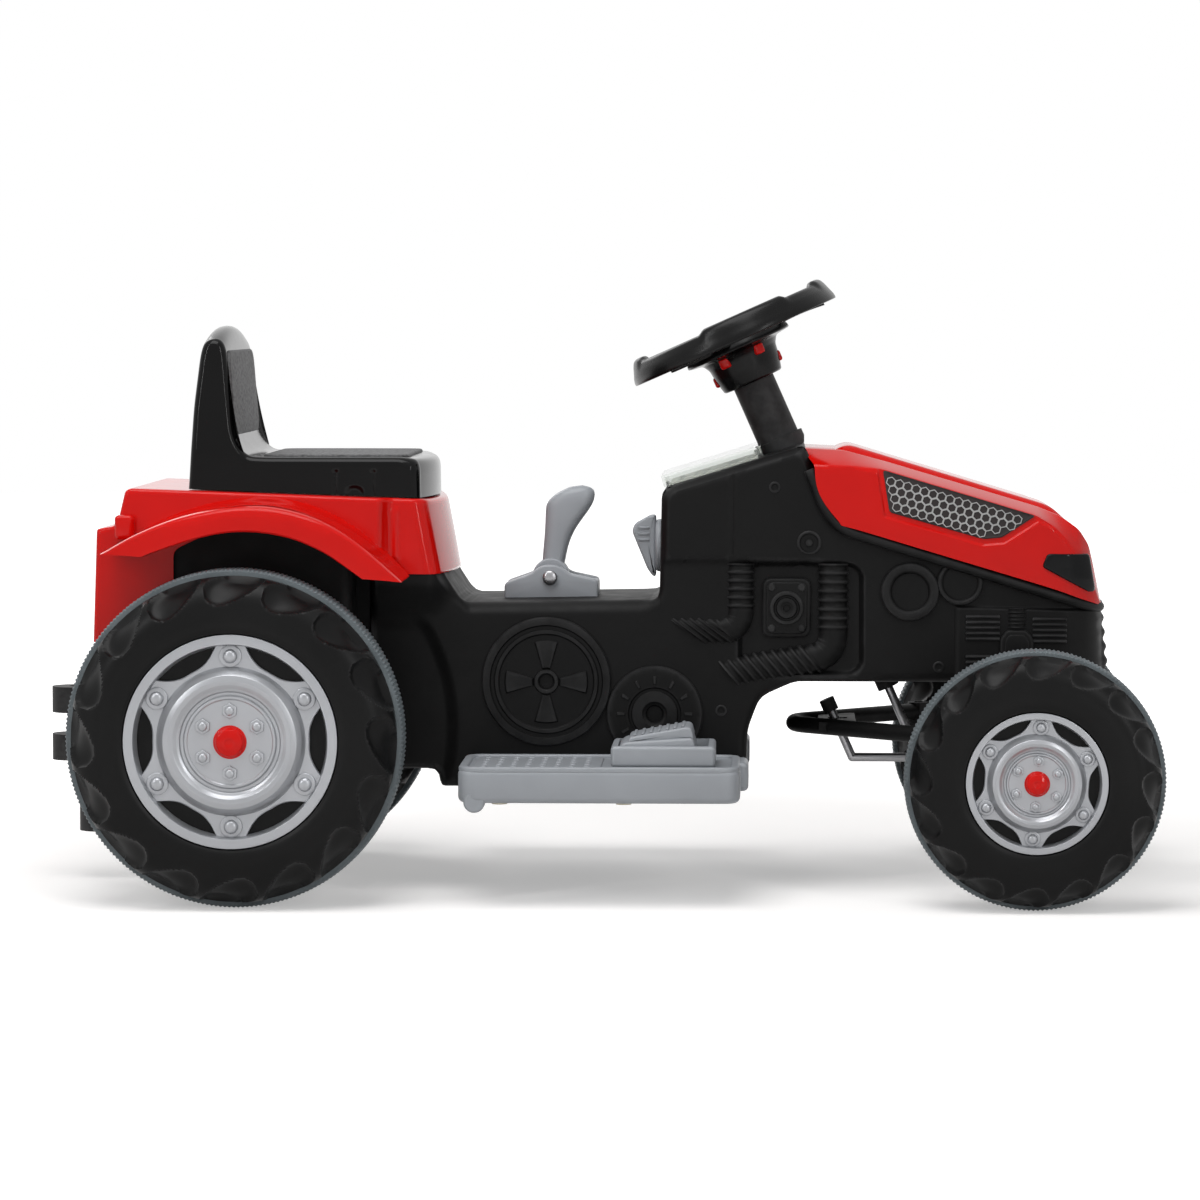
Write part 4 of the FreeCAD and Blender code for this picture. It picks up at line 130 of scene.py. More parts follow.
def blank(kind, name):
    """A new world or material with no nodes, and the wire that its nodes are added from."""
    made = kind.new(name)
    made.use_nodes = True
    made.node_tree.nodes.clear()
    return made, Wire(made.node_tree)


# Stage: a pale studio floor that fades into a white backdrop. One soft lamp hangs above, two narrow strips
# on the camera's side draw the highlights, and one lamp behind lights the far edges.
WHITE = (1, 1, 1, 1)
world, sky = blank(bpy.data.worlds, "studio")
direct, shine, through = (sky.node("LightPath", output=f"Is {kind} Ray")
                          for kind in ("Camera", "Glossy", "Transmission"))
shown = sky.math("MAXIMUM", sky.math("MAXIMUM", direct, shine), through)
sky.node("Background", None, {"Color": WHITE, "Strength": 0.22 + 0.78 * shown}).end("World")
scene.world = world

for lamp_name, place, size, power in (("sky_lamp", (-0.3, -0.9, 2.5), (1.6, 1.6), 40),
                                      ("rear_strip", (-2.2, -2.4, 1.9), (0.09, 1.9), 22),
                                      ("side_strip", (1.9, -2.9, 1.5), (0.1, 1.9), 22),
                                      ("back_lamp", (-1.4, 2.0, 1.9), (1.4, 1.4), 18)):
    lamp_data = bpy.data.lights.new(lamp_name, "AREA")
    lamp_data.shape = "RECTANGLE"
    lamp_data.size, lamp_data.size_y = size
    lamp_data.energy = power
    lamp = bpy.data.objects.new(lamp_name, lamp_data)
    lamp.location = place
    set_up(lamp, (0, 0, 0.2))

floor_mesh = bpy.data.meshes.new("floor")
floor_mesh.from_pydata([(-9, -6, 0), (9, -6, 0), (9, 9, 0), (-9, 9, 0)], [], [(0, 1, 2, 3)])
floor = bpy.data.objects.new("floor", floor_mesh)
scene.collection.objects.link(floor)
pale, wash = blank(bpy.data.materials, "pale_floor")
looked_at = wash.math("MAXIMUM", *(wash.node("LightPath", output=f"Is {kind} Ray")
                                   for kind in ("Camera", "Glossy")))
spot = wash.node("TexCoord", output="Object")
far_off = wash.node("VectorMath", {"operation": "LENGTH"}, {0: spot}, output="Value").between(0.7, 2.2)
floor_tone = spot.noise(30.0).between(0.3, 0.7).tint((0.80, 0.785, 0.775), (0.82, 0.80, 0.79))
matt = wash.node("BsdfDiffuse", None, {"Color": floor_tone})
lift = wash.node("Emission", None, {"Color": WHITE, "Strength": looked_at * (0.38 + 0.8 * far_off)})
wash.node("AddShader", None, {0: matt, 1: lift}).end()
floor_mesh.materials.append(pale)


# Main body: one large blow moulding in black plastic, hollow, with the engine's shapes pressed into both
# sides. The wheels, linkage, footrests, hood and cover are all fixed to it.
MM = 0.001
WELD, SLIVER = 0.02 * MM, 0.005 * MM
FULL_TURN = 2 * math.pi


def moulded(name, colour, roughness, grain, grain_depth, mottle, gloss, coat=0.0, wear_and_sheen_gain=1.35, metallic=0.0,
            smudge=0.3):
    """Moulded plastic: slow changes of tone, a fine grain in the surface, uneven polish, and convex edges
    made lighter: partly wear, partly a painted highlight where the edges catch the light."""
    made, start = blank(bpy.data.materials, name)
    place = start.node("TexCoord", output="Object")
    smear = place.noise(55.0, 4.0)
    # Painted highlight and wear: convex edges, found by pointiness, get a lighter base colour.
    edge_wear_and_sheen = start.node("NewGeometry", output="Pointiness").between(0.515, 0.6) * smear.between(0.2, 0.6)
    deep, light, wear_and_sheen_tone = ([min(c * share + extra, 1) for c in colour]
                              for share, extra in ((1 - mottle, 0), (1 + mottle, 0), (wear_and_sheen_gain, 0.004)))
    tone = place.noise(14.0, 3.0).between(0.3, 0.7).tint(deep, light)
    polish = roughness * (1 - smudge / 2 + smudge * smear.between(0.25, 0.75)) + 0.05 * edge_wear_and_sheen
    skin = start.node("Bump", None, {"Height": place.noise(grain), "Distance": grain_depth, "Strength": 1.0})
    start.node("BsdfPrincipled", None,
               {"Base Color": (edge_wear_and_sheen * 0.6).tint(tone, wear_and_sheen_tone), "Roughness": polish, "Normal": skin,
                "Metallic": metallic, "Specular IOR Level": gloss, "Coat Weight": coat,
                "Coat Roughness": 0.08}).end()
    return made


# The body's convex edges get a much lighter colour: a painted highlight on the reliefs, partly also wear.
body_black = moulded("body_black", (0.0044, 0.0044, 0.0045), 0.5, 700.0, 0.00004, 0.2, 0.11, wear_and_sheen_gain=15)


def soft_line(points, radius, closed=False, steps=6):
    """Polyline with rounded corners: each corner becomes a parabola between the two points that lie one
    radius before and after it."""
    corner = np.asarray(points, float)
    back, on = (np.roll(corner, shift, 0) - corner for shift in (1, -1))
    first, last = (corner + way * np.minimum(radius / np.linalg.norm(way, axis=1)[:, None], 0.48)
                   for way in (back, on))
    t = np.linspace(0, 1, steps)[None, :, None]
    curve = (1 - t) ** 2 * first[:, None] + 2 * t * (1 - t) * corner[:, None] + t ** 2 * last[:, None]
    if closed:
        return curve.reshape(-1, corner.shape[1])
    return np.concatenate([corner[:1], curve[1:-1].reshape(-1, corner.shape[1]), corner[-1:]])


def along(points, run, at):
    """Points of a polyline at given distances along it."""
    return np.stack([np.interp(at, run, points[:, k]) for k in range(points.shape[1])], -1)


def edge_grid(low, high, rows, radius, fine=6):
    """Grid between two edge lines with the same number of points: point (u, v) lies on the straight line
    from low(u) to high(u). The first and last rows crowd into one radius of each edge."""
    length = np.linalg.norm(high - low, axis=1)[:, None]
    part = np.minimum(radius / np.maximum(length, 1e-6), 0.3)
    crowd = 1 - np.cos(np.linspace(0, math.pi / 2, fine))[None, :]
    middle = np.linspace(0, 1, rows + 2)[None, 1:-1]
    share = np.concatenate([part * crowd, part + (1 - 2 * part) * middle, 1 - part * crowd[:, ::-1]], 1)
    return low[:, None] + (high - low)[:, None] * share[..., None]


BODY_HALF = 96
NOSE_FROM, NOSE_TIP, NOSE_LOW, NOSE_HIGH = 440, 466, 192, 269.2
NOSE_BEND = 42
SLAT_PITCH = 14
top_edge = soft_line([(-204, 354), (-158, 354), (-153, 346), (-137, 291), (-119, 263), (59, 266), (61, 366),
                      (138, 390), (142, 391.2), (154, 395), (182, 403.5), (190, 406), (212, 350), (226, 335),
                      (NOSE_FROM, NOSE_HIGH)], 9)
under_edge = soft_line([(-204, 112), (-141.5, 112), (-139.5, 96), (-130, 96), (-115, 96), (57, 96), (63, 96),
                        (137.4, 96), (138.6, 148), (150, 178), (181, 192), (190, 192), (212, 192), (226, 192),
                        (NOSE_FROM, NOSE_LOW)], 9)
edge_lengths = [np.linalg.norm(np.diff(edge, axis=0), axis=1) for edge in (top_edge, under_edge)]
run_at = np.r_[0, np.cumsum(np.maximum(*edge_lengths))]
columns_at = np.linspace(0, run_at[-1], 400)
under_line, top_line = (along(edge, run_at, columns_at) for edge in (under_edge, top_edge))
side = edge_grid(under_line, top_line, 84, 9)
last_z = side[-1, :, 1]
nose_up = (last_z - NOSE_LOW) / (NOSE_HIGH - NOSE_LOW)
slats = 1.1 * np.cos(FULL_TURN * (last_z - 197) / SLAT_PITCH)
nose_x = NOSE_TIP - 6.5 * nose_up + slats
nose_z = NOSE_LOW + 72 * nose_up
nose_share = np.linspace(0, 1, 16)[1:, None]
side = np.concatenate([side, np.stack([NOSE_FROM + (nose_x - NOSE_FROM) * nose_share,
                                       last_z + (nose_z - last_z) * nose_share], -1)])


def nose_round(x):
    """How far a side draws in round the nose: a quarter circle in plan."""
    share = np.clip((x - 419) / NOSE_BEND, 0, 0.97)
    return NOSE_BEND * (1 - np.sqrt(1 - share ** 2))


def ease(value, low, high):
    """0 below low, 1 above high, and an even S between them."""
    share = np.clip((value - low) / (high - low), 0, 1)
    return share * share * (3 - 2 * share)


def bump(value, middle, width):
    """A smooth hump of height 1 about a middle, with a given half width."""
    return np.exp(-((value - middle) / width) ** 2)


def box_gap(x, z, middle, half, corner):
    """Distance outside a rectangle with rounded corners, negative inside it."""
    over_x = np.abs(x - middle[0]) - half[0] + corner
    over_z = np.abs(z - middle[1]) - half[1] + corner
    outside = np.hypot(np.maximum(over_x, 0), np.maximum(over_z, 0))
    return outside + np.minimum(np.maximum(over_x, over_z), 0) - corner


def shut(line):
    """A closed outline with its first point repeated at its end."""
    return np.concatenate([line, line[:1]])


def away(x, z, line):
    """Distance of each point from a polyline: the least over its straight runs."""
    best = np.full(np.shape(x), 1e9)
    for (x0, z0), (x1, z1) in zip(line[:-1], line[1:]):
        dx, dz = x1 - x0, z1 - z0
        t = np.clip(((x - x0) * dx + (z - z0) * dz) / max(dx * dx + dz * dz, 1e-9), 0, 1)
        best = np.minimum(best, np.hypot(x - x0 - t * dx, z - z0 - t * dz))
    return best


def depth_in(x, z, ring):
    """Distance inside a closed outline, negative outside it."""
    closed = shut(np.asarray(ring, float))
    odd = np.zeros(np.shape(x), bool)
    for (x0, z0), (x1, z1) in zip(closed[:-1], closed[1:]):
        if z0 != z1:
            crosses = (z0 > z) != (z1 > z)
            odd ^= crosses & (x < (x1 - x0) * (z - z0) / (z1 - z0) + x0)
    return np.where(odd, 1, -1) * away(x, z, closed)


def body_steps(x, z):
    """How far the body's flat side stands out: the dash's overhang, the engine bay's recess, the shoulder
    under the rear cover, the hollow round the rear axle, the front panel and the dash's upright groove."""
    dash = 3 * ease(z, 299, 303) * ease(x, 58, 60) * (1 - ease(x, 190, 230))
    bay = 7 * (1 - ease(box_gap(x, z, (186.5, 249), (55.5, 50), 14), -3, 2))
    axle = 4 * (1 - ease(np.hypot(x + 313, z - 150), 178, 192)) * (1 - ease(z, 236, 256))
    shoulder = 19 * ease(z, 250, 284) * (1 - ease(x, -150, -122))
    panel = 2.6 * ease(depth_in(x, z, [(326, 150), (326, 261), (480, 257), (480, 150)]), -1, 2)
    groove = 1.8 * bump(x, 125, 1.8) * ease(z, 301, 305) * (1 - ease(z, 376, 381))
    return dash - bay - axle + shoulder + panel - groove


def round_edge(depth, radius):
    """How far a surface falls back near an edge: a quarter circle of the given radius."""
    near = 1 - np.clip(depth / radius, 0, 1)
    return radius * (1 - np.sqrt(np.clip(1 - near ** 2, 0, 1)))


def both_sides(x, z, half):
    """The same grid on the right, at y = -half, and on the left, at y = +half."""
    return np.stack([x, -half, z], -1), np.stack([x, half, z], -1)


def ruled(right, left, stops=(0, 1)):
    """Strip of straight lines from each point of one edge to its partner on the other."""
    share = np.asarray(stops, float)[None, :, None]
    return right[:, None] * (1 - share) + left[:, None] * share


def side_shell(x, z, half):
    """Closed shell: the same grid on both sides, joined along its four edges by strips."""
    right, left = both_sides(x, z, half)
    edges = [(grid[:, 0], grid[:, -1], grid[0], grid[-1]) for grid in (right, left)]
    return [right, left] + [ruled(*pair) for pair in zip(*edges)]


body_x, body_z = side[..., 0], side[..., 1]
body_outline = np.concatenate([side[0], side[:, -1], side[-1, ::-1], side[::-1, 0]])
edge_depth = away(body_x, body_z, body_outline[::3])
edge_radius = 8 + 7 * ease(body_z, 235, 262) * (1 - ease(body_x, 40, 60)) * ease(body_x, -122, -112)
body_half = BODY_HALF + body_steps(body_x, body_z) * ease(edge_depth, 1.5, 7)
body_half = body_half - round_edge(edge_depth, edge_radius) - nose_round(body_x)
body_sheets = side_shell(body_x, body_z, body_half)


def tilt_steps(low, high, radius, inner=()):
    """Sample places along one side of a rounded box: fine in its two round edges."""
    bend = radius * (1 - np.tan(np.radians([45, 34, 22, 11, 0])))
    return np.unique(np.round(np.r_[low + bend, inner, high - bend], 4))


def flat_face(steps, axis, level):
    """Grid over one face of a box: the steps along two of its axes, at a level of the third."""
    lists = [np.atleast_1d(level) if k == axis else steps[k] for k in range(3)]
    return np.stack(np.meshgrid(*lists, indexing="ij"), -1).squeeze(axis)


def unit(vectors):
    """Vectors scaled to length 1."""
    return vectors / np.linalg.norm(vectors, axis=-1, keepdims=True)


def rounded_box(low, high, radius, pocket=None):
    """Box with round edges: each point of the plain box moves onto the ball of the given radius about
    the nearest point of the box that is smaller by that radius. A pocket (x, y, floor) opens its top."""
    low, high = np.asarray(low, float), np.asarray(high, float)
    hole = pocket[:2] if pocket else ((), ())
    steps = [tilt_steps(low[k], high[k], radius, inner) for k, inner in enumerate((*hole, ()))]
    sheets = []
    for axis in range(3):
        for level in (low[axis], high[axis]):
            point = flat_face(steps, axis, level)
            core = np.clip(point, low + radius, high - radius)
            sheets.append(core + radius * unit(point - core))
    if pocket:
        inside = [(step >= span[0]) & (step <= span[1]) for step, span in zip(steps, hole)]
        sheets[-1] = (sheets[-1], ~np.outer(*(mask[:-1] & mask[1:] for mask in inside)))
        walls = [step[mask] for step, mask in zip(steps, inside)] + [np.array([high[2], pocket[2]])]
        sheets += [flat_face(walls, axis, level) for axis in (1, 0) for level in hole[axis]]
        sheets.append(flat_face(walls, 2, pocket[2]))
    return sheets


body_sheets += rounded_box((-417, -126, 112), (-216, 126, 357), 12, ((-309, -218), (-68, 68), 252))
body_sheets += rounded_box((-250, -90, 114), (-160, 90, 352), 10, ((-246, -172), (-68, 68), 252))


def capped(loft, skip=0):
    """A tube of sections whose two ends are shut by fans to their middles. A middle is the mean of its
    section, without as many of the last points as skip says."""
    ends = [np.stack([ring, np.repeat(ring[:len(ring) - skip].mean(0)[None], len(ring), 0)])
            for ring in (loft[0], loft[-1])]
    return [loft] + ends


def rounded_plate(outline, low, high, radius, steps=5):
    """Flat piece with round edges: a closed side outline carried from one side to the other, drawn in
    along its own normals by a quarter circle at both faces."""
    line = np.asarray(outline, float)
    tangent = np.roll(line, -1, 0) - np.roll(line, 1, 0)
    area = np.sum(line[:, 0] * np.roll(line[:, 1], -1) - np.roll(line[:, 0], -1) * line[:, 1])
    normal = unit(np.stack([tangent[:, 1], -tangent[:, 0]], -1)) * math.copysign(1, area)
    t = np.linspace(0, math.pi / 2, steps)
    draw_in = radius * (1 - np.sin(t))
    step_in = radius * (1 - np.cos(t))
    levels = zip(np.r_[draw_in, draw_in[::-1]], np.r_[low + step_in, (high - step_in)[::-1]])
    return capped(np.stack([np.insert(shut(line - d * normal), 1, y, axis=1) for d, y in levels]))


def swept(path, across, out, profile):
    """A closed profile carried along a path: at each point it lies in the plane of two given directions."""
    return path[:, None] + profile[None, :, :1] * across[:, None] + profile[None, :, 1:] * out[:, None]


def lathe(middle, radius, angle, y):
    """Points about an axis that runs across the tractor, from radius, angle and place along the axis."""
    radius, angle, y = np.broadcast_arrays(radius, angle, y)
    return np.stack([middle[0] + radius * np.cos(angle), y, middle[1] + radius * np.sin(angle)], -1)


def turned(middle, profile, spin, lift=0):
    """Round relief on the right side: a profile of radius and stand-out turned about its own middle."""
    profile = np.asarray(profile, float)
    return lathe(middle, profile[:, :1], spin[None], -(BODY_HALF + profile[:, 1:] + lift))


def run_of(points):
    """Distance along a polyline at each of its points."""
    return np.r_[0, np.cumsum(np.linalg.norm(np.diff(points, axis=0), axis=1))]


def even_steps(points, count):
    """Points at even steps along a polyline."""
    points = np.asarray(points, float)
    run = run_of(points)
    return along(points, run, np.linspace(0, run[-1], count))


def ribbed_hose(line, depth, wide, deep, pitch, plain, lean=0):
    """Flattened hose along a line in the body's side. Its size swells once every pitch, but not within
    the plain stretch of its length. After that stretch its sections lean along the hose, so that the ribs
    and the end are slanted."""
    line = even_steps(line, 160)
    run = run_of(line)
    heading = unit(np.gradient(line, axis=0))
    ribbed = 1 - ease(run, plain[0] - 3, plain[0]) * (1 - ease(run, plain[1], plain[1] + 3))
    swell = 1 + 0.09 * ribbed * np.maximum(np.cos(FULL_TURN * run / pitch), -0.4)
    spin = np.linspace(0, FULL_TURN, 25)
    across = np.stack([-heading[:, 1], heading[:, 0]], -1) * (wide * swell)[:, None]
    leaning = lean * ease(run, plain[1] - 8, plain[1] + 8)
    flat = line[:, None] + (across - heading * leaning[:, None])[:, None] * np.cos(spin)[None, :, None]
    y = -(depth + deep * swell[:, None] * np.sin(spin)[None])
    return capped(np.stack([flat[..., 0], y, flat[..., 1]], -1), 1)


def box_line(low, high, radius, steps=6):
    """Closed rectangle with rounded corners, given by two opposite corners."""
    (x0, z0), (x1, z1) = low, high
    return soft_line([(x0, z0), (x1, z0), (x1, z1), (x0, z1)], radius, True, steps)


relief = []
fan = [(58.5, -6), (58.5, 2.4), (57.4, 4.3), (54.6, 5), (51.4, 4.9), (50.2, 3.2), (47.6, 3.2), (46.4, 4.6),
       (43.6, 4.6), (42.2, 3.0), (38, 3.0), (36.6, 3.0), (13, 3.0), (11.6, 3.0), (10.6, 4.6), (8, 4.6),
       (6.8, 3.4), (6.2, 0.6), (0, 0.6)]
gear_face = [(43.5, -6), (43.5, 2.4), (42.4, 4.3), (39.6, 5), (34.4, 5), (33.6, 5), (27.4, 5), (26.6, 5),
             (24.2, 5), (23, 3.7), (21.4, 3.7), (20.2, 5.2), (11.4, 5.2), (10, 3.7), (8.2, 3.4), (6.8, 0.4),
             (0, 0.4)]
for middle, profile, count, pitch, (inner, outer), (narrow, wide), height in (
        ((-43, 192), fan, 121, 90, (12, 37), (15, 17), 1.7),
        ((55, 163), gear_face, 97, 30, (27, 34), (2, 3), 0.8)):
    mark_edges = np.arange(0, 360, pitch)[:, None] + np.array([-wide, -narrow, narrow, wide])
    spin = np.unique(np.r_[np.linspace(0, FULL_TURN, count), np.radians(mark_edges).ravel() % FULL_TURN])
    off_mark = np.abs((np.degrees(spin)[None] + pitch / 2) % pitch - pitch / 2)
    radius = np.array(profile)[:, :1]
    raised = height * (1 - ease(off_mark, narrow, wide)) * (radius < outer) * (radius > inner)
    relief.append(turned(middle, profile, spin, raised))

PLATE_AT = (174, 259)
spin = np.linspace(0, FULL_TURN, 73)
screw = [(5.2, -3), (5.2, 0.2), (4.4, 0.9), (3.2, 0.9), (2.4, 0.2), (0, 0.1)]
bolt = [(3.6, -2), (3.6, 1), (2.6, 2.2), (0, 2.6)]
large_ring = [(26.4, -5), (26.4, 3), (25.2, 5.2), (22.6, 6.2), (19.4, 6), (17.4, 4.8), (16.4, 2.4), (0, 2.2)]
small_ring = [(20.6, -5), (20.6, 3), (19.6, 4.9), (17.8, 5.4), (16.2, 4.6), (15.2, 2.8), (0, 2.6)]
filler = [(11, -3), (11, 3.4), (10, 4.3), (8.6, 4.2), (7.8, 3.2), (3.8, 3.1), (3.2, 4.2), (0, 4.5)]
boss = [(15.4, -4), (15.4, 2), (14.4, 3.2), (12, 3.2), (11, 1.6), (9.8, 1.6), (8.8, 3), (6.2, 3), (5, 2.2),
        (3.4, 2.1), (2.8, -0.3), (0, -0.3)]
rounds = [((285, 274), 1, 0, large_ring), ((330, 282.5), 1, 0, small_ring), ((194, 318), 3, 0, filler),
          ((163, 368), 4, 3, screw), ((115, 166), 4, 0, screw), ((311, 206), 4, 0, screw)]
relief += [turned(middle, profile, spin[::every], raised) for middle, every, raised, profile in rounds]
relief += rounded_plate(box_line((152, 232), (196, 286), 9), -95, -84, 3)
relief += rounded_plate(box_line((155.5, 235.5), (192.5, 282.5), 8), -96.6, -90, 1.6)
relief.append(turned(PLATE_AT, boss, spin))
relief += [turned((PLATE_AT[0] + ahead, PLATE_AT[1] + above), bolt, spin[::4])
           for ahead in (-13.5, 13.5) for above in (-18.5, 18.5)]
relief += ribbed_hose(soft_line([(132, 299), (132, 238.5), (84, 238)], 18),
                      90.5, 12.4, 10.5, 7.6, (42, 66), 17)
relief += ribbed_hose(soft_line([(216, 299), (216, 216), (121, 200)], 19), 90, 13, 10.8, 8.2, (60, 92), 8)
for bar_x, lowest, count in ((335, 230, 5), (395, 228, 5), (335, 199, 4)):
    for bar_z in lowest + 5 * np.arange(count):
        bar = box_line((bar_x, bar_z), (bar_x + 31, bar_z + 3.2), 1.2, 3)
        relief += rounded_plate(bar, -101, -95, 1.3, 3)
relief += ribbed_hose([(381, 259), (381, 242)], 96.5, 8, 6, 3.4, (-9, -6))
lid = soft_line([(366, 217), (396, 217), (396, 232), (390, 240), (372, 240), (366, 232)], 3.5, closed=True)
relief += rounded_plate(lid, -103, -95, 2.4)
lid = soft_line([(370, 217), (392, 217), (392, 230), (388, 236), (374, 236), (370, 230)], 3, closed=True)
relief += rounded_plate(lid, -104.4, -100, 1.2)
relief += [sheet * (1, -1, 1) for sheet in relief]


def grid_faces(rows, columns, keep):
    """Quads between neighbouring points of a grid, counted row by row."""
    i, j = np.meshgrid(np.arange(rows - 1), np.arange(columns - 1), indexing="ij")
    corner = i * columns + j
    quads = np.stack([corner, corner + 1, corner + columns + 1, corner + columns], -1)
    return quads[keep].reshape(-1, 4)


def make_piece(name, sheets, material, body, node=None, crease=38):
    """One mesh object from grids of points in millimetres: joins them, merges the points that meet, turns
    the faces outwards and keeps creases sharper than an angle. It rides on a body and stands for a node."""
    points, quads, start = [], [], 0
    for sheet in sheets:
        sheet, keep = sheet if isinstance(sheet, tuple) else (sheet, ...)
        rows, columns = sheet.shape[:2]
        points.append(sheet.reshape(-1, 3))
        quads.append(grid_faces(rows, columns, keep) + start)
        start += rows * columns
    points = np.concatenate(points) * MM
    quads = np.concatenate(quads)
    mesh = bpy.data.meshes.new(name)
    mesh.vertices.add(len(points))
    mesh.vertices.foreach_set("co", points.ravel())
    mesh.loops.add(quads.size)
    mesh.loops.foreach_set("vertex_index", quads.ravel().astype(np.int32))
    mesh.polygons.add(len(quads))
    mesh.polygons.foreach_set("loop_start", np.arange(0, quads.size, 4, dtype=np.int32))
    mesh.update(calc_edges=True)
    work = bmesh.new()
    work.from_mesh(mesh)
    bmesh.ops.remove_doubles(work, verts=work.verts, dist=WELD)
    bmesh.ops.dissolve_degenerate(work, dist=SLIVER, edges=work.edges)
    bmesh.ops.recalc_face_normals(work, faces=work.faces)
    work.to_mesh(mesh)
    work.free()
    mesh.shade_smooth()
    mesh.set_sharp_from_angle(angle=math.radians(crease))
    mesh.materials.append(material)
    piece = bpy.data.objects.new(name, mesh)
    scene.collection.objects.link(piece)
    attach(piece, body)
    if node:
        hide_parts(node)
    return piece


make_piece("engine_relief", relief, body_black, "chassis", "main_body")

RIB_OUT, RIB_BEND, RIB_DROP = 100.5, 39, 11.3
RIB_X, RIB_Z = 416.5, 270.5
rib_side = even_steps(soft_line([(194, 384), (207.5, 349), (222, 330.5), (RIB_X, RIB_Z)], 16), 90)
bend = np.linspace(0, math.pi / 2, 16)[1:]
rib_corner = np.stack([RIB_X + RIB_BEND * np.sin(bend), RIB_BEND - RIB_OUT - RIB_BEND * np.cos(bend),
                       RIB_Z - RIB_DROP * np.sin(bend)], -1)
rib_half = np.concatenate([np.insert(rib_side, 1, -RIB_OUT, axis=1), rib_corner,
                           [[RIB_X + RIB_BEND, 0, RIB_Z - RIB_DROP]]])
rib_path = np.concatenate([rib_half, (rib_half * (1, -1, 1))[-2::-1]])
heading = unit(np.gradient(rib_path, axis=0))
sideways = unit(np.cross(heading, (0, 0, 1)))
ring = np.linspace(0, FULL_TURN, 17)
rib_section = np.stack([6.5 * np.cos(ring), 5.2 * np.sin(ring)], -1)
body_sheets += capped(swept(rib_path, sideways, np.cross(sideways, heading), rib_section), 1)
make_piece("body_moulding", body_sheets, body_black, "chassis", "main_body")


# Hood: an injection moulding in gloss red with a raised spine on top, a crease along each side and a
# pocket for the side grille. It is screwed down onto the body's rounded rib.
cover_red = moulded("cover_red", (0.62, 0.0045, 0.0025), 0.11, 260.0, 0.000005, 0.05, 0.16, wear_and_sheen_gain=1.08)
HOOD_HALF, REAR_BOW = 105, 7
HOOD_COLUMNS = 320
hood_edges = np.array([
    [(187, 402.5), (226, 400.5), (262, 391), (400, 350), (422, 341), (437, 330), (446, 316), (450, 300),
     (458, 264)],
    [(198, 389), (231, 388), (260, 384.5), (398, 343), (414, 333), (428, 318.5), (439, 303), (446, 288),
     (456.5, 264)],
    [(223, 334), (240, 329.5), (270, 320.5), (385, 286), (405, 280), (422, 274.5), (435, 269.5), (445, 266),
     (454.5, 262.5)]])
hood_run = run_of(hood_edges[0])
hood_top, hood_crease, hood_low = (along(edge, hood_run, np.linspace(0, hood_run[-1], HOOD_COLUMNS))
                                   for edge in hood_edges)
window = np.ones(9) / 9
for edge in (hood_top, hood_crease, hood_low):
    for k in (0, 1):
        edge[4:-4, k] = np.convolve(edge[:, k], window, "valid")
lower_band = edge_grid(hood_low, hood_crease, 54, 4, 3)
upper_band = edge_grid(hood_crease, hood_top, 10, 5, 6)[:, 1:]
bowed = lower_band.shape[1]
hood_grid = np.concatenate([lower_band, upper_band], 1)
rear_fade = np.exp(-np.arange(HOOD_COLUMNS) / 27)
hood_grid[:, :bowed, 0] -= REAR_BOW * np.outer(rear_fade, np.sin(np.linspace(0, math.pi, bowed)))
upper_panel = [(180, 430), (180, 389), (231, 388.5), (256, 384), (262.5, 342.5), (350, 317.5), (369, 319),
               (399, 338.5), (413, 333), (428, 318), (440, 301), (448, 286), (470, 262), (470, 430)]


def hood_side(x, z):
    """Half width of the hood: the lower panel stands a little out, the panel with the grille is upright up
    to the crease and then falls in to the top edge, and both draw in round the nose."""
    crease = np.interp(x, hood_crease[:, 0], hood_crease[:, 1])
    fall = np.maximum(np.interp(x, hood_top[:, 0], hood_top[:, 1]) - crease, 0.5)
    share = np.clip((z - crease) / fall, 0, 1)
    outset = 2.0 * (1 - ease(depth_in(x, z, upper_panel), -2.2, 0.4))
    return HOOD_HALF + outset - (12 + 20 * (1 - ease(x, 395, 440))) * share ** 1.15 - nose_round(x)


hood_x, hood_z = hood_grid[..., 0], hood_grid[..., 1]
make_piece("hood_shell", side_shell(hood_x, hood_z, hood_side(hood_x, hood_z)), cover_red,
           "chassis", "hood", crease=32)

spine_top = even_steps(soft_line([(214, 399), (228, 406), (413, 350), (426, 338)], 8), 110)
spine_low = even_steps([(212, 394), (426, 330)], 110)
spine_grid = edge_grid(spine_low, spine_top, 6, 5, 7)
spine_x, spine_z = spine_grid[..., 0], spine_grid[..., 1]
spine_half = 66 - 0.6 * (spine_z - np.interp(spine_x, [212, 426], [394, 330]))
spine_half = spine_half - round_edge(away(spine_x, spine_z, spine_top), 5)
make_piece("hood_spine", side_shell(spine_x, spine_z, spine_half), cover_red, "chassis", "hood")


# Side grilles: a pale honeycomb net moulded on a dark backing plate, set into the hood's pockets.
# Each cell is a six-sided ring; the plate's rim stays plain.
grille_dark = moulded("grille_backing", (0.028, 0.023, 0.023), 0.5, 500.0, 0.00003, 0.2, 0.2)
grille_grey = moulded("grille_grey", (0.36, 0.36, 0.36), 0.45, 500.0, 0.00002, 0.08, 0.4)


def soft_ring(points, radius, steps=6):
    """Closed outline with rounded corners and its first point repeated at its end."""
    return shut(soft_line(points, radius, True, steps))


